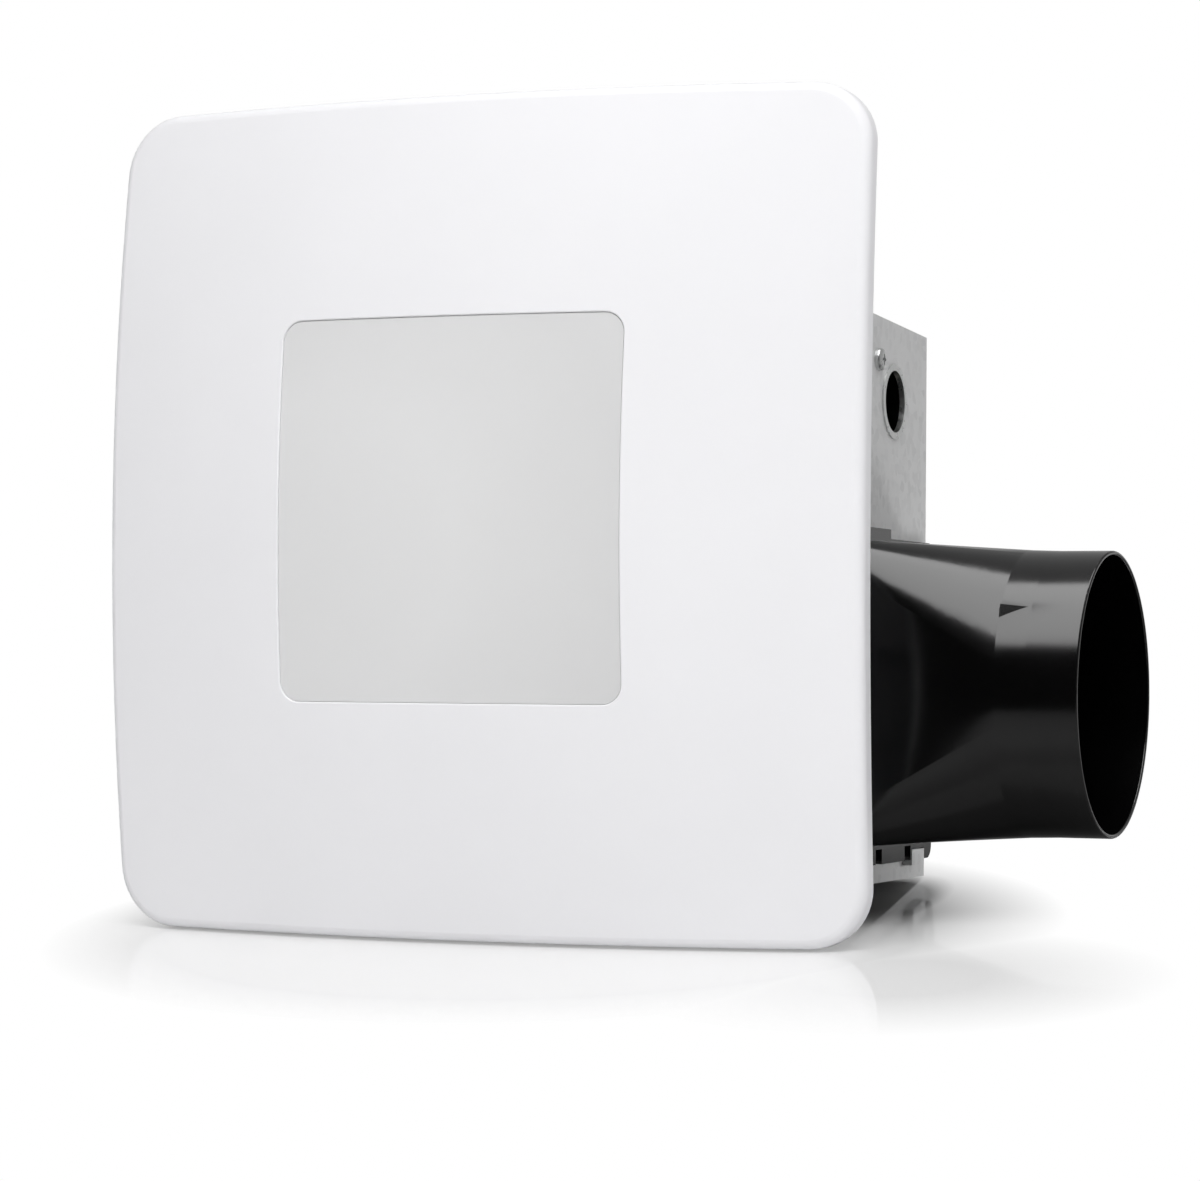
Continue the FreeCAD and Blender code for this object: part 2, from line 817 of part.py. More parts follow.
def spring_tabs():
    """Tabs folded in from the side walls, each with a slot for one spring."""
    slot_half = spring_height / 2 + spring_wire / 2 + spring_clearance
    reach = spring_inset + slot_half + tab_margin
    spread = math.radians(spring_spread)
    travel = tab_y + housing_sheet - spring_y + cover_travel
    slot_length = spring_coil_radius / math.cos(spread) + travel * math.tan(spread) + spring_wire
    half = slot_length + tab_end
    tabs = []
    for side in (-1, 1):
        root = side * half_width
        tip = side * (inner_x - reach)
        x0, x1 = min(root, tip), max(root, tip)
        tab = box(x0, x1, tab_y, tab_y + housing_sheet, spring_rise - half, spring_rise + half)
        slot_x = side * spring_x
        slot = box(
            slot_x - slot_half, slot_x + slot_half, tab_y - overcut, tab_y + housing_sheet + overcut,
            spring_rise - slot_length, spring_rise + slot_length,
        )
        tabs.append(tab.cut(slot))
    return tabs


def knockout_point(x):
    """Point on the axis of the cable entry."""
    return V(x, knockout_y, knockout_z)


def wall_screw_seat():
    """Seat of the screw that holds the wiring cover, outside on the wall."""
    return V(half_width, wall_screw_y, wall_screw_z)


def flange_screw_reach():
    """Length of an adapter screw: through flange, gasket and wall, and a little more."""
    return flange_thickness + adapter_gasket + housing_sheet + flange_screw_tail


def flange_screw_seats():
    """Seats of the four screws in the flange's corners, just outside the transition's round ones."""
    outside = transition_corner + flange_screw_gap + flange_screw_head
    turn = math.radians(flange_screw_turn)
    centre = transition_half - transition_corner
    across = centre + outside * math.cos(turn)
    up = centre + outside * math.sin(turn)
    seats = []
    for y in (duct_y - across, duct_y + across):
        for z in (duct_z - up, duct_z + up):
            seats.append(V(transition_x, y, z))
    return seats


def scroll_screw_seats():
    """Seats of the screws that hold the scroll's posts, outside on the back wall."""
    turn = 360 / post_count
    return [polar(post_circle_radius, turn * (step + 0.5), housing_depth) for step in range(post_count)]


def make_bushing():
    """Flanged ring that lines the cable entry."""
    outer = knockout_radius + bushing_wall - bushing_fit
    start = knockout_point(inner_x - bushing_tail)
    barrel = ring(knockout_radius, outer, start, knockout_point(half_width))
    edge = knockout_point(half_width + bushing_flange)
    lip = ring(knockout_radius, bushing_flange_radius, knockout_point(half_width), edge)
    return fuse(barrel, lip)


def make_plug():
    """Blank plug that closes the spare cable entry on the other side."""
    barrel_radius = knockout_radius - bushing_fit
    barrel = rod(barrel_radius, knockout_point(-half_width), knockout_point(-inner_x + bushing_tail))
    start = knockout_point(-half_width - bushing_flange)
    cap = rod(bushing_flange_radius, start, knockout_point(-half_width))
    return fuse(barrel, cap)


def make_wall_screw():
    """Screw through the duct-side wall into the wiring cover's tab."""
    return screw(wall_screw_seat(), V(1, 0, 0), screw_reach, wall_screw_head_radius, wall_screw_head_height)


def make_wiring_cover():
    """Three-sided sheet cover that boxes in the wiring corner."""
    roof = [(wiring_y, wiring_z), (back_inner, wiring_z)]
    roof += [(back_inner, top_z(back_inner) - housing_sheet), (wiring_y, top_z(wiring_y) - housing_sheet)]
    block = prism_x(roof, wiring_x, inner_x)
    room = box(
        wiring_x + wiring_sheet, half_width, wiring_y + wiring_sheet, housing_depth,
        wiring_z + wiring_sheet, half_height,
    )
    tab = box(
        inner_x - wiring_sheet, inner_x, wiring_y, wiring_y + wiring_tab_length,
        wall_screw_z - wiring_tab_width / 2, wall_screw_z + wiring_tab_width / 2,
    )
    cover = fuse(block.cut(room), tab)
    cover = cover.cut(screw_hole(wall_screw_seat(), V(1, 0, 0), screw_reach))
    return cover.cut(lead_entry())


def lead_entry():
    """Hole for the lead's rubber ring in the side of the wiring cover."""
    end = lead_point(wiring_x + wiring_sheet)
    return rod(lead_grommet_radius - lead_grommet_groove, lead_point(wiring_x), end)


def make_wiring_liner():
    """Black fibre sheet against the back wall of the wiring corner, round the earth screw."""
    z1 = top_z(back_inner) - housing_sheet - liner_gap
    liner = box(
        wiring_x + wiring_sheet + liner_gap, inner_x - liner_gap, back_inner - liner_thickness, back_inner,
        terminal_z + terminal_height / 2 + liner_gap, z1,
    )
    start = V(ground_x, back_inner - liner_thickness, ground_z)
    return liner.cut(rod(screw_head_radius + liner_gap, start, V(ground_x, back_inner, ground_z)))


def lead_point(x):
    """Point on the straight run of the motor lead."""
    return V(x, lead_y, terminal_z)


def make_lead_grommet():
    """Rubber ring where the motor lead enters the wiring corner."""
    half = lead_grommet_length / 2
    middle = wiring_x + wiring_sheet / 2
    body = rod(lead_grommet_radius, lead_point(middle - half), lead_point(middle + half))
    sheet = rod(lead_grommet_radius, lead_point(wiring_x), lead_point(wiring_x + wiring_sheet))
    body = body.cut(sheet.cut(lead_entry()))
    return body.cut(rod(lead_radius + lead_fit, lead_point(middle - half), lead_point(middle + half)))


def make_gland():
    """Cable gland block on the motor plate."""
    half = gland_size / 2
    y1 = lead_y + lead_radius + gland_wall
    x0, x1 = gland_x - half, gland_x + half
    z0, z1 = terminal_z - half, terminal_z + half
    return rounded_box(x0, x1, plate_back, y1, z0, z1, gland_round, V(0, 1, 0))


def make_lead():
    """Motor lead, pulled straight from the gland to the terminal block."""
    start = lead_point(gland_x + gland_size / 2)
    return rod(lead_radius, start, lead_point(terminal_x - terminal_width / 2))


def make_terminal():
    """Terminal block on the back wall of the wiring corner."""
    x0, x1 = terminal_x - terminal_width / 2, terminal_x + terminal_width / 2
    z0, z1 = terminal_z - terminal_height / 2, terminal_z + terminal_height / 2
    return rounded_box(x0, x1, back_inner - terminal_depth, back_inner, z0, z1, terminal_round, V(0, 1, 0))


def make_ground_screw():
    """Earth screw inside the wiring corner."""
    return screw(V(ground_x, back_inner, ground_z), V(0, -1, 0), housing_sheet + ground_tail)


def make_socket():
    """Two-way plug socket on the front of the wiring cover."""
    x0, x1 = socket_x - socket_width / 2, socket_x + socket_width / 2
    z0, z1 = socket_z - socket_height / 2, socket_z + socket_height / 2
    y0 = wiring_y - socket_depth
    block = rounded_box(x0, x1, y0, wiring_y, z0, z1, socket_round, V(0, 1, 0))
    half = socket_hole_width / 2
    up = socket_hole_height / 2
    for side in (-1, 1):
        x = socket_x + side * socket_hole_spacing / 2
        hole = box(x - half, x + half, y0 - overcut, y0 + socket_hole_depth, socket_z - up, socket_z + up)
        block = block.cut(hole)
    return block


def make_capacitor():
    """Run capacitor on the wall opposite the duct, low in the corner."""
    z0 = -half_height + housing_sheet
    return rounded_box(
        -inner_x, -inner_x + capacitor_width, capacitor_y, capacitor_y + capacitor_length,
        z0, z0 + capacitor_height, capacitor_round, V(0, 1, 0),
    )


def scroll_radius(degrees, start):
    """Inner radius of the scroll at an angle; it grows steadily from the tongue to the bottom."""
    return tongue_radius + scroll_growth * (degrees - start) / (scroll_low_angle - start)


def scroll_region(grow, end_x, y0, y1):
    """Block inside the scroll's outline, grown by a wall."""
    inner_start = math.degrees(math.asin((duct_z + throat_half - wheel_z) / tongue_radius))
    start = math.degrees(math.asin((duct_z + throat_half + grow - wheel_z) / (tongue_radius + grow)))
    edges = []

    def spot(degrees):
        return polar(scroll_radius(degrees, inner_start) + grow, degrees, y0)

    first_spot = polar(tongue_radius + grow, start, y0)
    step = (scroll_low_angle - start) / scroll_arcs
    for index in range(scroll_arcs):
        begin = first_spot if index == 0 else spot(start + step * index)
        middle = spot(start + step * (index + 0.5))
        edges.append(Part.Arc(begin, middle, spot(start + step * (index + 1))).toShape())
    low = spot(scroll_low_angle)
    corners = [low, V(end_x, y0, low.z), V(end_x, y0, first_spot.z), first_spot]
    for begin, end in zip(corners, corners[1:]):
        edges.append(Part.LineSegment(begin, end).toShape())
    return Part.Face(Part.Wire(edges)).extrude(V(0, y1 - y0, 0))


def make_scroll():
    """Spiral casing with its back plate and the posts that stand on the housing's back."""
    wall = scroll_region(scroll_wall, scroll_end, scroll_front, plate_front)
    wall = wall.cut(scroll_region(0, scroll_end + overcut, scroll_front - overcut, scroll_back))
    posts = []
    for seat in scroll_screw_seats():
        foot = V(seat.x, back_inner, seat.z)
        post = rod(post_radius, V(seat.x, scroll_back, seat.z), foot)
        posts.append(post.cut(screw_hole(foot, V(0, 1, 0), screw_reach)))
    wall = fuse(wall, *posts)
    hole_end = polar(0, 0, plate_front + overcut)
    wall = wall.cut(rod(motor_hole_radius, polar(0, 0, scroll_back - overcut), hole_end))
    for seat in plate_screw_seats():
        wall = wall.cut(screw_hole(seat, V(0, 1, 0), plate_screw_reach()))
    return wall


def make_scroll_screws():
    """Screws through the housing's back wall into the scroll's posts."""
    reach = housing_sheet + post_screw_reach
    return Part.makeCompound([screw(seat, V(0, 1, 0), reach) for seat in scroll_screw_seats()])


def make_inlet_plate():
    """Front plate of the scroll with its round, lipped inlet."""
    front = scroll_front - scroll_wall
    plate = scroll_region(scroll_wall, scroll_end, front, scroll_front)
    outer = inlet_radius
    lip = ring(outer - inlet_lip, outer, polar(0, 0, front), polar(0, 0, wheel_front_y - inlet_gap))
    plate = plate.cut(rod(outer, polar(0, 0, front - overcut), polar(0, 0, scroll_front + overcut)))
    return fuse(plate, lip)


def make_wheel():
    """Squirrel cage wheel: dished back, curved blades and a front ring."""
    inner = blade_inner_radius
    back = wheel_back_y - wheel_rim_thickness
    face = shaft_front_y + shaft_tip + wheel_nut_height
    bore = shaft_radius + shaft_fit
    cup = cup_radius - cup_wall
    floor = face + wheel_rim_thickness
    dish = turned([
        (bore, face), (cup_radius, face), (cup_radius, back), (wheel_radius, back),
        (wheel_radius, wheel_back_y), (cup, wheel_back_y), (cup, floor),
        (hub_radius, floor), (hub_radius, face + hub_length), (bore, face + hub_length),
    ])
    rim_back = polar(0, 0, wheel_front_y + wheel_rim_thickness)
    front_ring = ring(inner, wheel_radius, polar(0, 0, wheel_front_y), rim_back)
    blades = [make_blade(360 / blade_count * step) for step in range(blade_count)]
    return fuse(dish, front_ring, *blades)


def make_blade(degrees):
    """One blade, curved forward, sunk into the ring and the dished back."""
    y0 = wheel_front_y + wheel_rim_thickness / 2
    y1 = wheel_back_y - wheel_rim_thickness / 2
    outer = wheel_radius - blade_wall / 2
    inner = blade_inner_radius + blade_wall / 2
    lean = math.degrees(blade_wall / inner)

    def curve(turn):
        start = polar(inner, degrees + turn, y0)
        middle = polar((inner + outer) / 2, degrees + turn + blade_bow_share * blade_sweep, y0)
        end = polar(outer, degrees + turn + blade_sweep, y0)
        return start, middle, end

    a0, a1, a2 = curve(0)
    b0, b1, b2 = curve(lean)
    edges = [
        Part.Arc(a0, a1, a2).toShape(),
        Part.LineSegment(a2, b2).toShape(),
        Part.Arc(b2, b1, b0).toShape(),
        Part.LineSegment(b0, a0).toShape(),
    ]
    return Part.Face(Part.Wire(edges)).extrude(V(0, y1 - y0, 0))


def plate_screw_reach():
    """Length of a motor plate screw, through the plate and the scroll's back."""
    return motor_plate_sheet + scroll_wall


def plate_screw_seats():
    """Seats of the screws round the edge of the motor plate."""
    turns = [360 / plate_screw_count * step + plate_screw_turn for step in range(plate_screw_count)]
    return [polar(plate_screw_circle_radius, turn, plate_back) for turn in turns]


def stud_points(y):
    """Centres of the motor's studs at a depth."""
    turns = [360 / stud_count * step + stud_turn for step in range(stud_count)]
    return [polar(stud_circle_radius, turn, y) for turn in turns]


def make_motor_plate():
    """Round steel plate that closes the scroll's back and carries the motor."""
    plate = rod(motor_plate_radius, polar(0, 0, plate_front), polar(0, 0, plate_back))
    for point in stud_points(plate_front):
        end = V(point.x, plate_back, point.z)
        plate = plate.cut(rod(grommet_waist + grommet_clearance, point, end))
    for seat in plate_screw_seats():
        plate = plate.cut(screw_hole(seat, V(0, 1, 0), plate_screw_reach()))
    return plate


def make_plate_screws():
    """Screws that hold the motor plate to the scroll."""
    screws = [screw(seat, V(0, 1, 0), plate_screw_reach()) for seat in plate_screw_seats()]
    return Part.makeCompound(screws)


def nut_seat():
    """Depth of the motor nuts' seat, behind the rubber mounts."""
    return plate_back + grommet_tail


def make_motor_case():
    """Motor can with bearing bosses and three studs at its back."""
    can = rod(motor_radius, polar(0, 0, motor_front_y), polar(0, 0, motor_back_y))
    front, back = motor_front_y + motor_wall, motor_back_y - motor_wall
    can = can.cut(rod(motor_radius - motor_wall, polar(0, 0, front), polar(0, 0, back)))
    outer = bearing_radius + boss_wall
    bosses = [
        ring(bearing_radius, outer, polar(0, 0, front), polar(0, 0, front + bearing_length)),
        ring(bearing_radius, outer, polar(0, 0, back - bearing_length), polar(0, 0, back)),
    ]
    studs = []
    for point in stud_points(back):
        studs.append(rod(stud_radius, point, V(point.x, nut_seat() + nut_height + stud_tail, point.z)))
    can = fuse(can, *(bosses + studs))
    return can.cut(rod(shaft_radius + shaft_clearance, polar(0, 0, motor_front_y), polar(0, 0, front)))


def make_bearings():
    """Front and rear bearing of the motor shaft."""
    inner = shaft_radius + shaft_fit
    outer = bearing_radius - shaft_fit
    front = motor_front_y + motor_wall
    back = motor_back_y - motor_wall
    return Part.makeCompound([
        ring(inner, outer, polar(0, 0, front), polar(0, 0, front + bearing_length)),
        ring(inner, outer, polar(0, 0, back - bearing_length), polar(0, 0, back)),
    ])


def core_ends():
    """Front and back of the motor's iron core, centred in the can."""
    middle = (motor_front_y + motor_back_y) / 2
    return middle - core_length / 2, middle + core_length / 2


def make_stator():
    """Iron ring of the motor."""
    front, back = core_ends()
    return ring(rotor_radius + air_gap, motor_radius - motor_wall, polar(0, 0, front), polar(0, 0, back))


def make_windings():
    """Copper end turns on both faces of the stator."""
    front, back = core_ends()
    inner = rotor_radius + air_gap + winding_inset
    outer = motor_radius - motor_wall - winding_inset
    return Part.makeCompound([
        ring(inner, outer, polar(0, 0, front - winding_length), polar(0, 0, front)),
        ring(inner, outer, polar(0, 0, back), polar(0, 0, back + winding_length)),
    ])


def make_rotor():
    """Iron rotor on the shaft."""
    front, back = core_ends()
    return ring(shaft_radius + shaft_fit, rotor_radius, polar(0, 0, front), polar(0, 0, back))


def make_shaft():
    """Motor shaft, from the wheel's nut to the rear bearing."""
    return rod(shaft_radius, polar(0, 0, shaft_front_y), polar(0, 0, motor_back_y - motor_wall))


def make_wheel_nut():
    """Nut that holds the wheel on the shaft."""
    start = polar(0, 0, shaft_front_y + shaft_tip)
    nut = hexagon(wheel_nut_radius, start, V(0, wheel_nut_height, 0))
    return nut.cut(rod(shaft_radius + shaft_fit, polar(0, 0, shaft_front_y), polar(0, 0, motor_front_y)))


def make_grommets():
    """Rubber mounts between the motor and its plate."""
    mounts = []
    for point in stud_points(0):
        def at(y):
            return V(point.x, y, point.z)
        body = fuse(
            rod(grommet_radius, at(motor_back_y), at(plate_front)),
            rod(grommet_waist, at(plate_front), at(plate_back)),
            rod(grommet_radius, at(plate_back), at(nut_seat())),
        )
        mounts.append(body.cut(rod(stud_radius + grommet_clearance, at(motor_back_y), at(nut_seat()))))
    return Part.makeCompound(mounts)


def make_motor_nuts():
    """Nuts on the motor's studs."""
    nuts = []
    for point in stud_points(nut_seat()):
        nut = hexagon(nut_radius, point, V(0, nut_height, 0))
        nuts.append(nut.cut(rod(stud_radius + shaft_fit, point, point + V(0, nut_height, 0))))
    return Part.makeCompound(nuts)


def square_wire(x, half, corner):
    """Rounded square round the duct's axis: four sides and four corner arcs."""
    edges = []
    flat = half - corner
    bulge = flat + corner * math.sqrt(0.5)
    for quarter in range(4):
        points = [(half, -flat), (half, flat), (bulge, bulge), (flat, half)]
        a, b, middle, c = [quarter_turn(x, y, z, quarter) for y, z in points]
        edges.append(Part.LineSegment(a, b).toShape())
        edges.append(Part.Arc(b, middle, c).toShape())
    return Part.Wire(edges)


def round_wire(x, radius):
    """Circle round the duct's axis, cut into arcs that match the rounded square's edges."""
    edges = []
    marks = [-facet_angle, 0, facet_angle, 45, 90 - facet_angle]
    for quarter in range(4):
        points = []
        for mark in marks:
            angle = math.radians(mark)
            points.append(quarter_turn(x, radius * math.cos(angle), radius * math.sin(angle), quarter))
        edges.append(Part.Arc(points[0], points[1], points[2]).toShape())
        edges.append(Part.Arc(points[2], points[3], points[4]).toShape())
    return Part.Wire(edges)


def quarter_turn(x, y, z, quarter):
    """Point about the duct's axis, turned by quarters."""
    for _ in range(quarter):
        y, z = -z, y
    return V(x, duct_y + y, duct_z + z)


def duct_point(x):
    """Point on the duct's axis."""
    return V(x, duct_y, duct_z)


def duct_square(x0, x1, half, corner):
    """Square bar with round corners along the duct's axis."""
    return rounded_box(
        x0, x1, duct_y - half, duct_y + half, duct_z - half, duct_z + half, corner, V(1, 0, 0)
    )


def make_adapter():
    """Duct adapter: throat, flange, square-to-round transition and collar in one moulding."""
    outer_corner = throat_corner + throat_wall
    outer_throat = duct_square(throat_x, transition_x, throat_half + throat_wall, outer_corner)
    square = square_wire(transition_x, transition_half, transition_corner)
    transition = Part.makeLoft([square, round_wire(collar_x, collar_root_radius)], True, True)
    start = duct_point(collar_x)
    root = Part.makeCone(collar_root_radius, collar_radius, collar_root_length, start, V(1, 0, 0))
    collar = rod(collar_radius, duct_point(collar_x + collar_root_length), duct_point(mouth_x))
    body = fuse(flange_plate(), outer_throat, transition, root, collar, *duct_stops())
    inner_collar = collar_radius - collar_wall
    square = square_wire(transition_x, transition_half - adapter_wall, transition_corner - adapter_wall)
    hollow = Part.makeLoft([square, round_wire(collar_x, inner_collar)], True, True)
    body = body.cut(duct_square(throat_x - overcut, transition_x, throat_half, throat_corner))
    body = body.cut(hollow)
    body = body.cut(rod(inner_collar, start, duct_point(mouth_x + overcut)))
    lips = [edge for edge in body.Edges if abs(edge.CenterOfMass.x - mouth_x) < least_round]
    body = body.makeFillet(collar_lip_round, lips)
    body = fuse(body, flap_ledge())
    reach = throat_half + throat_wall + overcut
    low, high = V(flap_x, pin_y, duct_z - reach), V(flap_x, pin_y, duct_z + reach)
    return body.cut(rod(pin_radius + pin_running, low, high))


def flange_plate():
    """Flange of the adapter, with its hook tab, corner holes and cut-outs along the lower edge."""
    plate = flange_outline(flange_x, transition_x, 0)
    hook_y = duct_y + hook_offset
    top = duct_z + flange_up
    hook = box(
        flange_x, transition_x, hook_y - hook_width / 2, hook_y + hook_width / 2,
        top - flange_corner, top + hook_rise,
    )
    plate = fuse(plate, hook)
    for seat in flange_screw_seats():
        plate = plate.cut(screw_hole(seat, V(1, 0, 0), flange_screw_reach()))
    for offset in flange_slot_offsets:
        plate = plate.cut(edge_cut(offset, flange_slot_width, flange_slot_height))
    return plate.cut(edge_cut(flange_notch_offset, flange_notch_width, flange_notch_height))


def edge_cut(offset, width, height):
    """Block that cuts a slot or notch into the flange's lower edge and what lies behind it."""
    y = duct_y + offset
    low = duct_z - flange_down
    return box(gasket_x, transition_x, y - width / 2, y + width / 2, low - overcut, low + height)


def flange_outline(x0, x1, inset):
    """Rounded rectangle of the flange between two depths, drawn in by an inset."""
    return rounded_box(
        x0, x1, duct_y - flange_half + inset, duct_y + flange_half - inset,
        duct_z - flange_down + inset, duct_z + flange_up - inset, flange_corner, V(1, 0, 0),
    )


def duct_stops():
    """Two barbs high on the collar's tapered root that stop the duct when it is pushed on."""
    return [duct_barb(-1), duct_barb(1)]


def duct_barb(side):
    """Three-cornered barb: tall at the collar's root, running out along it and below."""
    sunk = collar_radius - collar_wall / 2

    def spot(x, radius, degrees):
        angle = math.radians(degrees)
        return V(x, duct_y + side * radius * math.cos(angle), duct_z + radius * math.sin(angle))

    tip = spot(collar_x, collar_radius + stop_height, stop_top_angle)
    root = spot(collar_x, sunk, stop_top_angle)
    far = spot(collar_x + stop_length, sunk, stop_top_angle)
    low = spot(collar_x, sunk, stop_low_angle)
    corners = [(tip, root, far), (tip, far, low), (tip, low, root), (root, low, far)]
    faces = [Part.Face(Part.makePolygon([a, b, c, a])) for a, b, c in corners]
    barb = Part.Solid(Part.Shell(faces))
    if barb.Volume < 0:
        barb.reverse()
    return barb


def flap_ledge():
    """Ledge in the throat that the closed flap comes to rest against."""
    x1 = flap_x - flap_thickness / 2 - ledge_gap
    y0 = duct_y - throat_half - throat_wall / 2
    y1 = duct_y - throat_half + ledge_depth
    return box(x1 - ledge_thickness, x1, y0, y1, duct_z - ledge_half, duct_z + ledge_half)


def make_adapter_gasket():
    """Foam gasket between the adapter's flange and the wall."""
    hole = throat_half + throat_wall + outlet_clearance
    frame = flange_outline(gasket_x, flange_x, adapter_gasket_inset)
    frame = frame.cut(duct_square(gasket_x, flange_x, hole, throat_corner + throat_wall))
    frame = frame.cut(edge_cut(flange_notch_offset, flange_notch_width, flange_notch_height))
    for seat in flange_screw_seats():
        frame = frame.cut(screw_hole(seat, V(1, 0, 0), flange_screw_reach()))
    return frame


def make_adapter_screws():
    """Four screws through the flange, the gasket and the wall."""
    screws = []
    for seat in flange_screw_seats():
        screws.append(screw(seat, V(1, 0, 0), flange_screw_reach(), flange_screw_head))
    return Part.makeCompound(screws)


def make_flap():
    """Damper flap with the tube that its pin goes through."""
    half = flap_thickness / 2
    plate = duct_square(flap_x - half, flap_x + half, flap_half, flap_corner)
    low = V(flap_x, pin_y, duct_z - flap_half)
    high = V(flap_x, pin_y, duct_z + flap_half)
    flap = fuse(plate, rod(flap_hub_radius, low, high))
    return flap.cut(rod(pin_radius + pin_fit, low, high))


def make_pin():
    """Damper pin, from wall to wall of the throat."""
    reach = throat_half + throat_wall
    return rod(pin_radius, V(flap_x, pin_y, duct_z - reach), V(flap_x, pin_y, duct_z + reach))


PIECES = {
    "housing_box": make_housing,
    "conduit_bushing": make_bushing,
    "knockout_plug": make_plug,
    "wall_screw": make_wall_screw,
    "wiring_cover": make_wiring_cover,
    "wiring_liner": make_wiring_liner,
    "terminal_block": make_terminal,
    "ground_screw": make_ground_screw,
    "plug_socket": make_socket,
    "motor_lead": make_lead,
    "lead_grommet": make_lead_grommet,
    "lead_gland": make_gland,
    "run_capacitor": make_capacitor,
    "scroll_casing": make_scroll,
    "scroll_screws": make_scroll_screws,
    "inlet_plate": make_inlet_plate,
    "motor_plate": make_motor_plate,
    "motor_plate_screws": make_plate_screws,
    "motor_case": make_motor_case,
    "motor_stator": make_stator,
    "motor_windings": make_windings,
    "motor_bearings": make_bearings,
    "motor_grommets": make_grommets,
    "motor_nuts": make_motor_nuts,
    "duct_adapter": make_adapter,
    "adapter_gasket": make_adapter_gasket,
    "adapter_screws": make_adapter_screws,
    "blower_wheel": make_wheel,
    "wheel_nut": make_wheel_nut,
    "motor_shaft": make_shaft,
    "motor_rotor": make_rotor,
    "damper_flap": make_flap,
    "damper_pin": make_pin,
    "cover_panel": make_cover,
    "light_lens": make_lens,
    "lens_gasket": make_lens_gasket,
    "light_tray": make_tray,
    "tray_screws": make_tray_screws,
    "led_board": make_board,
    "led_chips": make_chips,
    "led_driver": make_driver,
    "cover_spring_left": lambda: make_spring(-1),
    "cover_spring_right": lambda: make_spring(1),
}


def main():
    os.makedirs("parts", exist_ok=True)
    for name, make in PIECES.items():
        shape = make()
        shape.exportStep("parts/%s.step" % name)
        state = (name, shape.isValid(), len(shape.Solids), shape.Volume)
        print("%-20s valid %s  solids %d  volume %.0f" % state)


main()
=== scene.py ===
import json
import math

import bmesh
import bpy
from mathutils import Matrix, Quaternion, Vector


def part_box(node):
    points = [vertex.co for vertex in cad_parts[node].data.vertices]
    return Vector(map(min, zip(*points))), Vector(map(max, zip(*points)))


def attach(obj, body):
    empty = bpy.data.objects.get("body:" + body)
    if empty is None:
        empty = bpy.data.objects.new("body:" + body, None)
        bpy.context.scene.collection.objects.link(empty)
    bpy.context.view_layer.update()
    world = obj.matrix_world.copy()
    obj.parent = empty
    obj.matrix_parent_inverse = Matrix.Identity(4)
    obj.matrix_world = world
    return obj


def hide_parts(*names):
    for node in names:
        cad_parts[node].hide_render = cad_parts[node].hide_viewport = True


# Ceiling exhaust fan with a square light, leaning back on a pale studio floor.
# Metres, in the part's own frame: -Y is the room side, +X the duct side, +Z up.

# Camera, as it stood for the picture
image_width = 1200
focal_pixels = 3801.0
sensor_width = 36.0
camera_place = Vector((0.5289, -1.1962, -0.0281))
camera_yaw = math.radians(22.25)
camera_pitch = math.radians(1.19)
camera_roll = math.radians(0.43)

# Floor: the fan rests on the cover's lower edge and on the housing's lower back edge
floor_lean = math.radians(6.47)
floor_radius = 0.62
floor_sides = 96
floor_gap = 0.0003
rest_y = -0.012

# Floor finish: satin, with a faint mottle; its colour runs from its pale tone to a dark tone that carries
# painted shade
floor_pale = (0.85, 0.85, 0.85)
floor_painted_shade_tone = (0.065, 0.065, 0.065)
floor_rough = (0.05, 0.08)
floor_gloss = 0.25
mottle_scale = 6.0
mottle_depth = 0.03

# Places on the floor have their X to the duct side and their Y to the back.
# Painted shade: where it is mirrored, the floor's colour is darkened all over, and most under the duct,
# where shade falls.
shade_centre = Vector((0.16, 0.09, 0))
shade_near = 0.95
shade_far = 0.7
shade_start = 0.03
shade_end = 0.15

# Painted shade: a long dark patch in the floor's colour under the adapter's flange; its centre is in the
# stretched coordinates
painted_shade_stretch = (1, 0.4, 1)
painted_shade_centre = Vector((0.108, 0.04, 0))
painted_shade_depth = 0.6
painted_shade_start = 0.01
painted_shade_end = 0.025

# To the eye the floor runs out to white round the fan, and further out at the right front
fade_centre = Vector((0.012, 0.04, 0))
fade_start = 0.122
fade_end = 0.178
side_centre = Vector((0.16, -0.035, 0))
side_light = 0.33
side_start = 0.03
side_end = 0.09

# Before the cover it is lifted a little toward white, less and less behind its edge: painted light over the
# contact shadow, so the line of contact isn't black
contact_painted_light = 0.3
contact_start = 0.02
contact_end = 0.06

# World: white to the eye; for light and reflections, dark before the fan and pale all round it
world_front = 0.02
world_round = 0.64
front_end = -0.77
round_start = -0.25
mirrored_back = (0.85, 1.05)
mirrored_share = 0.6
sky_share = 0.7

# Softboxes: place, aim, width, height, radiance and whether it is there to be mirrored or to light.
# The last one stands for the light that the floor throws up at the duct side.
overhead_turn = math.radians(22)
SOFTBOXES = {
    "overhead": (Vector((0.08, -0.44, 1.0)), Vector((0.08, -0.44, 0)), 1.2, 1.33, 3.2, True),
    "key": (Vector((0.7, -1.0, 1.4)), Vector((0, 0, 0.02)), 0.9, 0.9, 5.6, False),
    "top": (Vector((0.1, -1.3, 1.6)), Vector((0, 0, 0.05)), 1.0, 1.0, 4.4, False),
    "fill": (Vector((0.2, -2.2, 0.4)), Vector((0, 0, 0)), 1.5, 1.3, 1.92, False),
    "bounce": (Vector((0.22, 0.2, -0.09)), Vector((0.11, 0.08, -0.1)), 0.12, 0.02, 16.0, False),
}

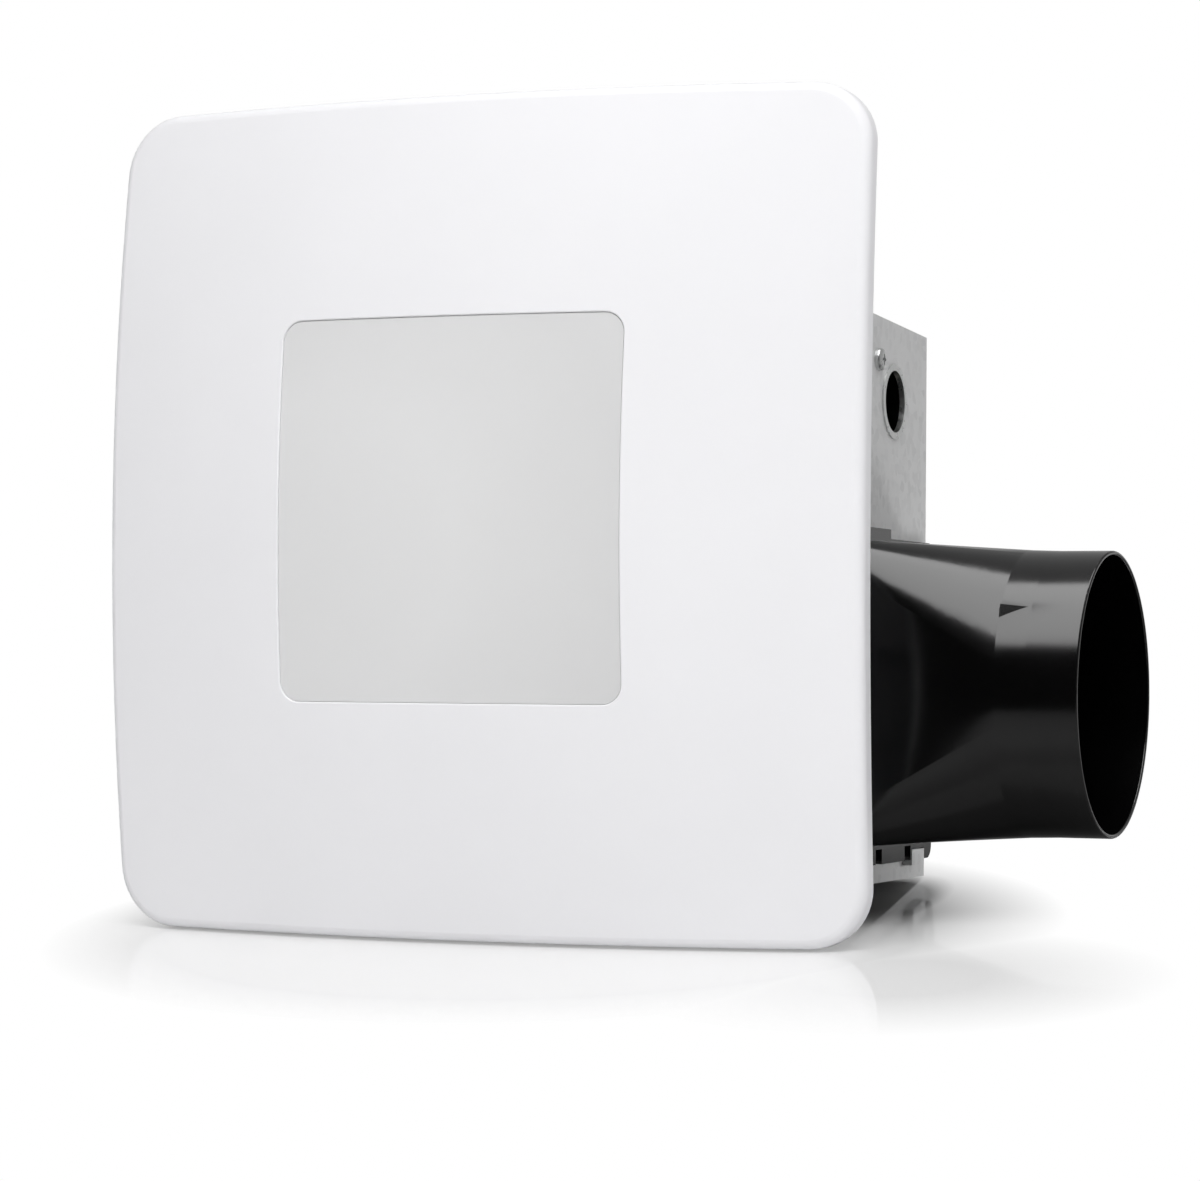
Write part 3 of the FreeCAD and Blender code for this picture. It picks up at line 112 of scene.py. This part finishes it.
# Screws that get a cross recess: CAD node, its body, the way its heads face and its finish
CROSS_SCREWS = {
    "wall_screw": ("housing", Vector((1, 0, 0)), "zinc_fastener"),
    "adapter_screws": ("housing", Vector((1, 0, 0)), "zinc_fastener"),
    "scroll_screws": ("housing", Vector((0, 1, 0)), "zinc_fastener"),
    "motor_plate_screws": ("housing", Vector((0, 1, 0)), "zinc_fastener"),
    "ground_screw": ("housing", Vector((0, -1, 0)), "ground_green"),
    "tray_screws": ("cover", Vector((0, 1, 0)), "zinc_fastener"),
}

# Shape of a screw: its thread's pitch in metres, the rest as shares of its radius or its head's rise
thread_pitch = 0.0008
thread_depth = 0.15
head_shoulder = 0.4
head_flat = 0.55
recess_length = 1.1
recess_width = 0.26
recess_depth = 0.62
recess_floor = 0.7
recess_mouth = 1.2

# Mesh of a screw: its steps round the axis and over the head, and the angle from which an edge is sharp
screw_sides = 40
head_steps = 8
sharp_angle = math.radians(32)

# Points nearer than this are one point; points past this share of the head's radius are on its rim
same_place = 1e-6
rim_share = 0.99

# Faces of a block whose lower four corners come first
BLOCK_FACES = ((3, 2, 1, 0), (4, 5, 6, 7), (0, 1, 5, 4), (1, 2, 6, 5), (2, 3, 7, 6), (3, 0, 4, 7))

# Mouldings and paints: dark tone, light tone, roughness, grains in a metre, their height in metres,
# and the gloss where it isn't the usual one
usual_gloss = 0.5
MOULDINGS = {
    "cover_plastic": ((0.84, 0.838, 0.858), (0.856, 0.854, 0.874), (0.36, 0.44), 900.0, 0.00002, 0.12),
    "scroll_plastic": ((0.07, 0.07, 0.075), (0.095, 0.095, 0.1), (0.42, 0.55), 700.0, 0.00008),
    "wheel_plastic": ((0.13, 0.13, 0.14), (0.17, 0.17, 0.18), (0.38, 0.5), 700.0, 0.00005),
    "motor_paint": ((0.04, 0.04, 0.043), (0.055, 0.055, 0.06), (0.3, 0.42), 1100.0, 0.00006),
    "black_fibre": ((0.006, 0.006, 0.006), (0.011, 0.011, 0.011), (0.85, 0.95), 900.0, 0.00008),
    "black_rubber": ((0.02, 0.02, 0.02), (0.034, 0.034, 0.034), (0.65, 0.8), 1200.0, 0.00008),
    "tray_paint": ((0.78, 0.78, 0.78), (0.82, 0.82, 0.82), (0.35, 0.46), 800.0, 0.00005),
    "board_white": ((0.76, 0.76, 0.75), (0.81, 0.81, 0.8), (0.3, 0.4), 600.0, 0.00003),
    "led_phosphor": ((0.78, 0.6, 0.12), (0.87, 0.72, 0.2), (0.25, 0.4), 2200.0, 0.00003),
    "driver_case": ((0.7, 0.7, 0.69), (0.76, 0.76, 0.75), (0.45, 0.58), 900.0, 0.0001),
    "terminal_cream": ((0.68, 0.64, 0.54), (0.75, 0.71, 0.61), (0.4, 0.52), 900.0, 0.00005),
    "ground_green": ((0.03, 0.28, 0.07), (0.05, 0.36, 0.1), (0.28, 0.4), 1500.0, 0.00003),
    "capacitor_case": ((0.56, 0.56, 0.54), (0.63, 0.63, 0.61), (0.38, 0.5), 900.0, 0.00005),
    "lead_sheath": ((0.22, 0.22, 0.23), (0.27, 0.27, 0.28), (0.5, 0.62), 1000.0, 0.00004),
}

# Bare metals: dark tone, light tone, roughness and how their streaks are drawn out
BARE_METALS = {
    "zinc_fastener": ((0.64, 0.65, 0.65), (0.8, 0.81, 0.8), (0.24, 0.36), (1, 1, 1)),
    "shaft_steel": ((0.52, 0.52, 0.53), (0.68, 0.68, 0.69), (0.16, 0.28), (1, 0.1, 1)),
    "spring_steel": ((0.38, 0.38, 0.39), (0.58, 0.58, 0.59), (0.24, 0.38), (0.2, 1, 0.2)),
}

# Frosted window, unlit: painted shade, palest round one spot and darker away from it; where that spot is,
# and how far from it the painted shade starts and ends
lens_pale = (0.74, 0.74, 0.744)
lens_painted_shade = (0.655, 0.655, 0.658)
lens_unshaded_spot = Vector((-0.045, -0.04, 0.01))
lens_painted_shade_start = 0.05
lens_painted_shade_end = 0.115
lens_cloud = 0.004

# Galvanised sheet and glossy black plastic
zinc_dark = (0.58, 0.582, 0.585)
zinc_light = (0.67, 0.672, 0.674)
zinc_metallic = 0.3
black_deep = (0.0007, 0.0007, 0.0008)
black_pale = (0.0012, 0.0012, 0.0013)
black_gloss = 0.85

# Foam, copper wire and core iron
foam_skin = (0.035, 0.035, 0.036)
foam_pore = (0.015, 0.015, 0.015)
copper_dark = (0.28, 0.1, 0.03)
copper_light = (0.72, 0.34, 0.14)
iron_dark = (0.12, 0.12, 0.125)
iron_light = (0.36, 0.36, 0.37)
motor_metallic = 0.9


# Node helpers


def new_shader(name):
    """Material with nodes; returns it, its tree and its Principled shader."""
    material = bpy.data.materials.new(name)
    material.use_nodes = True
    tree = material.node_tree
    return material, tree, tree.nodes["Principled BSDF"]


def feed(tree, socket, value):
    """Link an output to a socket, or set the socket to a constant."""
    if isinstance(value, bpy.types.NodeSocket):
        tree.links.new(value, socket)
    else:
        socket.default_value = value


def add_node(tree, kind, inputs=None, **settings):
    """Node of a kind with its settings and inputs."""
    node = tree.nodes.new(kind)
    for name, value in settings.items():
        setattr(node, name, value)
    for name, value in (inputs or {}).items():
        feed(tree, node.inputs[name], value)
    return node


def place(tree, stretch=(1, 1, 1)):
    """Coordinates that stay with the piece, stretched along its axes."""
    coordinates = add_node(tree, "ShaderNodeTexCoord").outputs["Object"]
    if stretch == (1, 1, 1):
        return coordinates
    mapping = add_node(tree, "ShaderNodeMapping", {"Vector": coordinates, "Scale": stretch})
    return mapping.outputs["Vector"]


def reach(tree, centre, stretch=(1, 1, 1)):
    """Distance from a centre, in coordinates that stay with the piece."""
    inputs = {0: place(tree, stretch), 1: centre}
    return add_node(tree, "ShaderNodeVectorMath", inputs, operation="DISTANCE").outputs["Value"]


def noise(tree, scale, detail=3.0, stretch=(1, 1, 1)):
    """Soft noise between 0 and 1; scale is in bumps per metre."""
    inputs = {"Vector": place(tree, stretch), "Scale": scale, "Detail": detail}
    return add_node(tree, "ShaderNodeTexNoise", inputs).outputs["Fac"]


def cells(tree, scale):
    """Outputs of a pattern of irregular cells; scale is in cells per metre."""
    return add_node(tree, "ShaderNodeTexVoronoi", {"Vector": place(tree), "Scale": scale}).outputs


def stripes(tree, scale, distortion, **settings):
    """Even stripes, as wire or thin sheets laid side by side make them."""
    inputs = {"Vector": place(tree), "Scale": scale, "Distortion": distortion}
    return add_node(tree, "ShaderNodeTexWave", inputs, **settings).outputs["Fac"]


def combine(tree, operation, first, second):
    """One number from two."""
    return add_node(tree, "ShaderNodeMath", {0: first, 1: second}, operation=operation).outputs["Value"]


def span(tree, factor, low, high, start=0.3, end=0.7):
    """Number that goes from low to high as the factor goes from start to end."""
    inputs = {"Value": factor, "From Min": start, "From Max": end, "To Min": low, "To Max": high}
    return add_node(tree, "ShaderNodeMapRange", inputs).outputs["Result"]


def tint(tree, factor, first, second, start=0.3, end=0.7):
    """Colour that goes from the first to the second as the factor goes from start to end."""
    ramp = add_node(tree, "ShaderNodeValToRGB", {"Fac": factor})
    stops = ramp.color_ramp.elements
    stops[0].position = start
    stops[0].color = (*first, 1)
    stops[1].position = end
    stops[1].color = (*second, 1)
    return ramp.outputs["Color"]


def relief(tree, shader, height, strength, distance):
    """Fine relief of a surface; distance is the real height in metres."""
    inputs = {"Height": height, "Strength": strength, "Distance": distance}
    bump = add_node(tree, "ShaderNodeBump", inputs)
    feed(tree, shader.inputs["Normal"], bump.outputs["Normal"])


def worn(tree, low, high):
    """Roughness that wanders between two values, as on handled surfaces."""
    return span(tree, noise(tree, scale=38.0, detail=4.0), low, high)


# Materials


def moulded_plastic(name, dark, light, rough, grain_scale, grain_height, gloss=usual_gloss):
    """Moulded plastic: slight change of tone, uneven gloss and a fine grain."""
    material, tree, shader = new_shader(name)
    feed(tree, shader.inputs["Base Color"], tint(tree, noise(tree, scale=16.0), dark, light))
    feed(tree, shader.inputs["Roughness"], worn(tree, *rough))
    shader.inputs["Specular IOR Level"].default_value = gloss
    grain = noise(tree, grain_scale, detail=2.0)
    relief(tree, shader, grain, strength=0.35, distance=grain_height)
    return material


def bare_metal(name, dark, light, rough, stretch):
    """Bare metal with drawn or turned streaks along one direction."""
    material, tree, shader = new_shader(name)
    streaks = noise(tree, scale=420.0, detail=4.0, stretch=stretch)
    feed(tree, shader.inputs["Base Color"], tint(tree, streaks, dark, light))
    feed(tree, shader.inputs["Roughness"], span(tree, streaks, *rough))
    shader.inputs["Metallic"].default_value = 1.0
    relief(tree, shader, streaks, strength=0.15, distance=0.00004)
    return material


def lens_diffuser():
    """Frosted light window: painted shade, palest round one spot and darker away from it, with a fine, even
    frosting.
    """
    material, tree, shader = new_shader("lens_diffuser")
    cloud = span(tree, noise(tree, scale=9.0, detail=1.0), -lens_cloud, lens_cloud)
    # Painted shade: the tone darkens with distance from the unshaded spot
    far = combine(tree, "ADD", reach(tree, lens_unshaded_spot), cloud)
    colour = tint(tree, far, lens_pale, lens_painted_shade, lens_painted_shade_start, lens_painted_shade_end)
    feed(tree, shader.inputs["Base Color"], colour)
    feed(tree, shader.inputs["Roughness"], worn(tree, 0.5, 0.58))
    frost = cells(tree, scale=1400.0)["Distance"]
    relief(tree, shader, frost, strength=0.25, distance=0.00003)
    return material


def galvanised_steel():
    """Zinc coated sheet: crystals of slightly different tone and gloss, with faint rolling marks."""
    material, tree, shader = new_shader("galvanised_steel")
    crystals = cells(tree, scale=320.0)["Color"]
    picks = add_node(tree, "ShaderNodeSeparateColor", {"Color": crystals}).outputs
    rolled = noise(tree, scale=260.0, detail=4.0, stretch=(1, 0.08, 1))
    mixed = combine(tree, "ADD", picks["Red"], rolled)
    feed(tree, shader.inputs["Base Color"], tint(tree, mixed, zinc_dark, zinc_light, start=0.3, end=1.0))
    feed(tree, shader.inputs["Roughness"], span(tree, picks["Green"], 0.44, 0.54, start=0.0, end=1.0))
    shader.inputs["Metallic"].default_value = zinc_metallic
    relief(tree, shader, rolled, strength=0.06, distance=0.00005)
    return material


def black_plastic():
    """Glossy black moulding, with the slow waviness of a thin wall."""
    material, tree, shader = new_shader("black_plastic")
    feed(tree, shader.inputs["Base Color"], tint(tree, noise(tree, scale=30.0), black_deep, black_pale))
    feed(tree, shader.inputs["Roughness"], worn(tree, 0.15, 0.19))
    shader.inputs["Specular IOR Level"].default_value = black_gloss
    relief(tree, shader, noise(tree, scale=40.0, detail=2.0), strength=0.1, distance=0.0001)
    return material


def cell_foam():
    """Closed cell foam: fine pores in a soft black skin."""
    material, tree, shader = new_shader("black_foam")
    depth = cells(tree, scale=1600.0)["Distance"]
    feed(tree, shader.inputs["Base Color"], tint(tree, depth, foam_skin, foam_pore, start=0.1, end=0.7))
    feed(tree, shader.inputs["Roughness"], worn(tree, 0.8, 0.95))
    relief(tree, shader, depth, strength=0.6, distance=0.0002)
    return material


def wound_copper():
    """Enamelled end turns: bands of wire laid side by side."""
    material, tree, shader = new_shader("copper_wire")
    wires = stripes(tree, scale=220.0, distortion=2.5, wave_type="RINGS", rings_direction="Y")
    feed(tree, shader.inputs["Base Color"], tint(tree, wires, copper_dark, copper_light, start=0.1, end=0.9))
    feed(tree, shader.inputs["Roughness"], worn(tree, 0.25, 0.4))
    shader.inputs["Metallic"].default_value = motor_metallic
    relief(tree, shader, wires, strength=0.5, distance=0.0004)
    return material


def core_iron():
    """Laminated core: thin sheets stacked along the shaft."""
    material, tree, shader = new_shader("motor_iron")
    sheets = stripes(tree, scale=300.0, distortion=0.4, wave_type="BANDS", bands_direction="Y")
    feed(tree, shader.inputs["Base Color"], tint(tree, sheets, iron_dark, iron_light, start=0.1, end=0.9))
    feed(tree, shader.inputs["Roughness"], worn(tree, 0.4, 0.55))
    shader.inputs["Metallic"].default_value = motor_metallic
    relief(tree, shader, sheets, strength=0.4, distance=0.0001)
    return material


def make_materials():
    """All finishes by the name of the record's slot."""
    finishes = {
        "lens_diffuser": lens_diffuser(),
        "galvanised_steel": galvanised_steel(),
        "black_plastic": black_plastic(),
        "black_foam": cell_foam(),
        "copper_wire": wound_copper(),
        "motor_iron": core_iron(),
    }
    for slot, values in MOULDINGS.items():
        finishes[slot] = moulded_plastic(slot, *values)
    for slot, values in BARE_METALS.items():
        finishes[slot] = bare_metal(slot, *values)
    return finishes


def dress(nodes, record, finishes):
    """Give every CAD node the finish of its slot in the record."""
    for part in record["subparts"]:
        mesh = nodes[part["node"]].data
        mesh.materials.clear()
        mesh.materials.append(finishes[part["material_slot"]])


# Screws with a cross recess


def islands(mesh):
    """Groups of points that hang together, one for each solid of a node, in the mesh's own order."""
    work = bmesh.new()
    work.from_mesh(mesh)
    bmesh.ops.remove_doubles(work, verts=work.verts, dist=same_place)
    for vert in work.verts:
        vert.tag = False
    groups = []
    for first in work.verts:
        if first.tag:
            continue
        first.tag = True
        stack = [first]
        group = []
        while stack:
            vert = stack.pop()
            group.append(vert.co.copy())
            for edge in vert.link_edges:
                other = edge.other_vert(vert)
                if not other.tag:
                    other.tag = True
                    stack.append(other)
        groups.append(group)
    work.free()
    return groups


def screw_sizes(points, out):
    """Axis point, tip, seat, top, head radius and shank radius of one CAD screw."""
    low = Vector(min(point[way] for point in points) for way in range(3))
    high = Vector(max(point[way] for point in points) for way in range(3))
    middle = (low + high) / 2
    axis_point = middle - out * middle.dot(out)
    places = []
    for point in points:
        height = point.dot(out)
        radius = (point - axis_point - out * height).length
        places.append((height, radius))
    tip = min(height for height, _ in places)
    top = max(height for height, _ in places)
    head = max(radius for _, radius in places)
    shank = max(radius for height, radius in places if height - tip < same_place)
    seat = min(height for height, radius in places if radius > rim_share * head)
    return axis_point, tip, seat, top, head, shank


def screw_profile(tip, seat, top, head, shank):
    """Half outline of a screw as (radius, height): ridged shank, flat seat, domed head."""
    root = shank * (1 - thread_depth)
    points = [(0, tip), (root, tip)]
    height = tip + thread_pitch / 2
    while height < seat - thread_pitch:
        points += [(shank, height), (root, height + thread_pitch / 2)]
        height += thread_pitch
    points += [(root, seat), (head, seat)]
    shoulder = seat + head_shoulder * (top - seat)
    for step in range(head_steps + 1):
        angle = math.radians(90 * step / head_steps)
        radius = head * (head_flat + (1 - head_flat) * math.cos(angle))
        points.append((radius, shoulder + (top - shoulder) * math.sin(angle)))
    points.append((0, top))
    return points


def lathe(work, profile, turn):
    """Spin a half outline about the local Z axis and stand it where turn says."""
    rings = []
    for radius, height in profile:
        if radius == 0:
            rings.append([work.verts.new(turn @ Vector((0, 0, height)))])
            continue
        ring = []
        for side in range(screw_sides):
            angle = 2 * math.pi * side / screw_sides
            spot = Vector((radius * math.cos(angle), radius * math.sin(angle), height))
            ring.append(work.verts.new(turn @ spot))
        rings.append(ring)
    for lower, upper in zip(rings, rings[1:]):
        for side in range(screw_sides):
            after = (side + 1) % screw_sides
            corners = [
                lower[side % len(lower)], lower[after % len(lower)],
                upper[after % len(upper)], upper[side % len(upper)],
            ]
            work.faces.new(list(dict.fromkeys(corners)))


def recess_blocks(work, head, top, rise, turn):
    """Two crossed blocks that cut the recess into a head."""
    long_half = head * recess_length / 2
    short_half = head * recess_width / 2
    low = top - rise * recess_depth
    high = top + rise
    for across, along in ((long_half, short_half), (short_half, long_half)):
        corners = []
        for z, spread in ((low, recess_floor), (high, recess_mouth)):
            for x, y in ((-1, -1), (1, -1), (1, 1), (-1, 1)):
                corner = Vector((x * across * spread, y * along * spread, z))
                corners.append(work.verts.new(turn @ corner))
        for face in BLOCK_FACES:
            work.faces.new([corners[i] for i in face])


def to_object(work, name):
    """Object from mesh work."""
    bmesh.ops.recalc_face_normals(work, faces=work.faces)
    mesh = bpy.data.meshes.new(name)
    work.to_mesh(mesh)
    work.free()
    piece = bpy.data.objects.new(name, mesh)
    bpy.context.scene.collection.objects.link(piece)
    return piece


def carve(piece, cutter):
    """Cut one mesh out of another and keep only the result."""
    modifier = piece.modifiers.new("recess", "BOOLEAN")
    modifier.operation = "DIFFERENCE"
    modifier.solver = "EXACT"
    modifier.use_self = True
    modifier.object = cutter
    bpy.context.view_layer.update()
    result = bpy.data.meshes.new_from_object(piece.evaluated_get(bpy.context.evaluated_depsgraph_get()))
    piece.modifiers.clear()
    piece.data = result
    bpy.data.objects.remove(cutter)
    result.shade_smooth()
    result.set_sharp_from_angle(angle=sharp_angle)


def cross_screws(nodes, finishes):
    """Stand a threaded, cross recessed screw in the place of every plain one."""
    for node, (body, out, slot) in CROSS_SCREWS.items():
        solid = bmesh.new()
        cut = bmesh.new()
        for points in islands(nodes[node].data):
            axis_point, tip, seat, top, head, shank = screw_sizes(points, out)
            turn = Matrix.Translation(axis_point) @ out.to_track_quat("Z", "Y").to_matrix().to_4x4()
            lathe(solid, screw_profile(tip, seat, top, head, shank), turn)
            recess_blocks(cut, head, top, top - seat, turn)
        piece = to_object(solid, node + "_crossed")
        carve(piece, to_object(cut, node + "_cutter"))
        piece.data.materials.clear()
        piece.data.materials.append(finishes[slot])
        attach(piece, body)
        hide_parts(node)


# Stage


def background_rays(tree):
    """1 for rays that look straight at the stage, and 1 for those that mirror it."""
    path = add_node(tree, "ShaderNodeLightPath").outputs
    direct = combine(tree, "MAXIMUM", path["Is Camera Ray"], path["Is Transmission Ray"])
    return direct, path["Is Glossy Ray"]


def floor_plane():
    """Matrix of the floor: its origin under the cover's lower edge, its normal leaning back."""
    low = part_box("cover_panel")[0].z - floor_gap
    return Matrix.Translation((0, rest_y, low)) @ Matrix.Rotation(floor_lean, 4, "X")


def floor_tone(tree, mirrored, dark):
    """Colour of the floor, from pale to dark: painted shade where it is mirrored and in the patch under the
    flange, with a faint mottle.
    """
    # Painted shade in what the floor's mirror image shows, deepest under the duct
    depth = span(tree, reach(tree, shade_centre), shade_near, shade_far, shade_start, shade_end)
    deepest = combine(tree, "MAXIMUM", combine(tree, "MULTIPLY", mirrored, depth), dark)
    mottle = span(tree, noise(tree, mottle_scale), 0.0, mottle_depth)
    shade = combine(tree, "ADD", deepest, mottle)
    return tint(tree, shade, floor_pale, floor_painted_shade_tone, start=0.0, end=1.0)


def floor_lift(tree, direct, dark):
    """How far the floor is lifted to white where the eye sees it, except over the painted shade under the
    flange.
    """
    around = span(tree, reach(tree, fade_centre), 0.0, 1.0, fade_start, fade_end)
    side = span(tree, reach(tree, side_centre), side_light, 1.0, side_start, side_end)
    fade = combine(tree, "SUBTRACT", combine(tree, "MINIMUM", around, side), dark)
    backward = add_node(tree, "ShaderNodeSeparateXYZ", {"Vector": place(tree)}).outputs["Y"]
    # Painted light: before the cover the floor is lifted toward white over the contact shadow
    contact = span(tree, backward, contact_painted_light, 0.0, contact_start, contact_end)
    return combine(tree, "MULTIPLY", combine(tree, "MAXIMUM", fade, contact), direct)


def floor_finish():
    """Pale satin floor that keeps the shadows near the fan, with painted shade under the duct and the
    flange, and runs out to white.
    """
    material, tree, shader = new_shader("floor_finish")
    direct, mirrored = background_rays(tree)
    # Painted shade under the adapter's flange, which is also kept from the lift to white
    dark = span(tree, reach(tree, painted_shade_centre, painted_shade_stretch), painted_shade_depth, 0.0, painted_shade_start, painted_shade_end)
    feed(tree, shader.inputs["Base Color"], floor_tone(tree, mirrored, dark))
    feed(tree, shader.inputs["Roughness"], worn(tree, *floor_rough))
    shader.inputs["Specular IOR Level"].default_value = floor_gloss
    white = add_node(tree, "ShaderNodeEmission", {"Color": (1, 1, 1, 1), "Strength": 1.0})
    inputs = {"Fac": floor_lift(tree, direct, dark), 1: shader.outputs["BSDF"], 2: white.outputs["Emission"]}
    blend = add_node(tree, "ShaderNodeMixShader", inputs)
    feed(tree, tree.nodes["Material Output"].inputs["Surface"], blend.outputs["Shader"])
    return material


def make_floor():
    """Round floor under the fan."""
    work = bmesh.new()
    bmesh.ops.create_circle(work, cap_ends=True, segments=floor_sides, radius=floor_radius)
    floor = to_object(work, "floor")
    floor.matrix_world = floor_plane()
    floor.data.materials.append(floor_finish())


def make_world():
    """White background, and a studio that is dark at the camera's side."""
    world = bpy.data.worlds.new("studio")
    bpy.context.scene.world = world
    world.use_nodes = True
    tree = world.node_tree
    background = tree.nodes["Background"]
    direction = add_node(tree, "ShaderNodeTexCoord").outputs["Generated"]
    ways = add_node(tree, "ShaderNodeSeparateXYZ", {"Vector": direction}).outputs
    ahead = span(tree, ways["Y"], world_front, world_round, front_end, round_start)
    above = span(tree, ways["Z"], 1.0, sky_share, start=0.0, end=1.0)
    level = combine(tree, "MULTIPLY", ahead, above)
    behind = span(tree, ways["Y"], 0.0, 1.0, *mirrored_back)
    direct, mirrored = background_rays(tree)
    seen = combine(tree, "MAXIMUM", direct, combine(tree, "MULTIPLY", mirrored, behind))
    share = span(tree, mirrored, 1.0, mirrored_share, start=0.0, end=1.0)
    lit = combine(tree, "MULTIPLY", level, share)
    feed(tree, background.inputs["Strength"], combine(tree, "MAXIMUM", lit, seen))
    background.inputs["Color"].default_value = (1, 1, 1, 1)


def make_lights():
    """Softboxes that face the fan; each gives light by its radiance and its area."""
    for name, (spot, aim, width, height, radiance, mirrored) in SOFTBOXES.items():
        lamp = bpy.data.lights.new(name, "AREA")
        lamp.shape = "RECTANGLE"
        lamp.size = width
        lamp.size_y = height
        lamp.energy = radiance * math.pi * width * height
        light = bpy.data.objects.new(name, lamp)
        light.location = spot
        light.rotation_mode = "QUATERNION"
        light.rotation_quaternion = (aim - spot).to_track_quat("-Z", "Y")
        if mirrored:
            light.rotation_quaternion = Quaternion((0, 0, 1), overhead_turn) @ light.rotation_quaternion
        light.visible_glossy = mirrored
        light.visible_diffuse = not mirrored
        bpy.context.scene.collection.objects.link(light)


def make_camera():
    """Camera at the picture's place, with its turn, tilt and slight roll."""
    forward = Vector((
        -math.sin(camera_yaw) * math.cos(camera_pitch),
        math.cos(camera_yaw) * math.cos(camera_pitch),
        math.sin(camera_pitch),
    ))
    level = Vector((math.cos(camera_yaw), math.sin(camera_yaw), 0))
    upright = level.cross(forward)
    right = level * math.cos(camera_roll) + upright * math.sin(camera_roll)
    up = upright * math.cos(camera_roll) - level * math.sin(camera_roll)
    turn = Matrix((right, up, -forward)).transposed().to_4x4()
    camera = bpy.data.objects.new("camera", bpy.data.cameras.new("camera"))
    camera.data.sensor_fit = "HORIZONTAL"
    camera.data.sensor_width = sensor_width
    camera.data.lens = focal_pixels / image_width * sensor_width
    camera.matrix_world = Matrix.Translation(camera_place) @ turn
    bpy.context.scene.collection.objects.link(camera)
    bpy.context.scene.camera = camera


with open("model.json") as file:
    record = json.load(file)
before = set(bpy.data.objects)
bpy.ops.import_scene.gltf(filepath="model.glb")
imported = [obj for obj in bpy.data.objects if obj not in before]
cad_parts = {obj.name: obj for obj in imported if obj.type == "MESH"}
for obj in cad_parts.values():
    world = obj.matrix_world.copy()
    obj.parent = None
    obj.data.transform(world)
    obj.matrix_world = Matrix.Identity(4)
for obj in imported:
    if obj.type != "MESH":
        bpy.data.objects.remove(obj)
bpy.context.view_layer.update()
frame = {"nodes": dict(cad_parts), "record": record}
finishes = make_materials()
dress(frame["nodes"], frame["record"], finishes)
cross_screws(frame["nodes"], finishes)
make_floor()
make_world()
make_lights()
make_camera()
bpy.context.scene.view_settings.view_transform = "Standard"
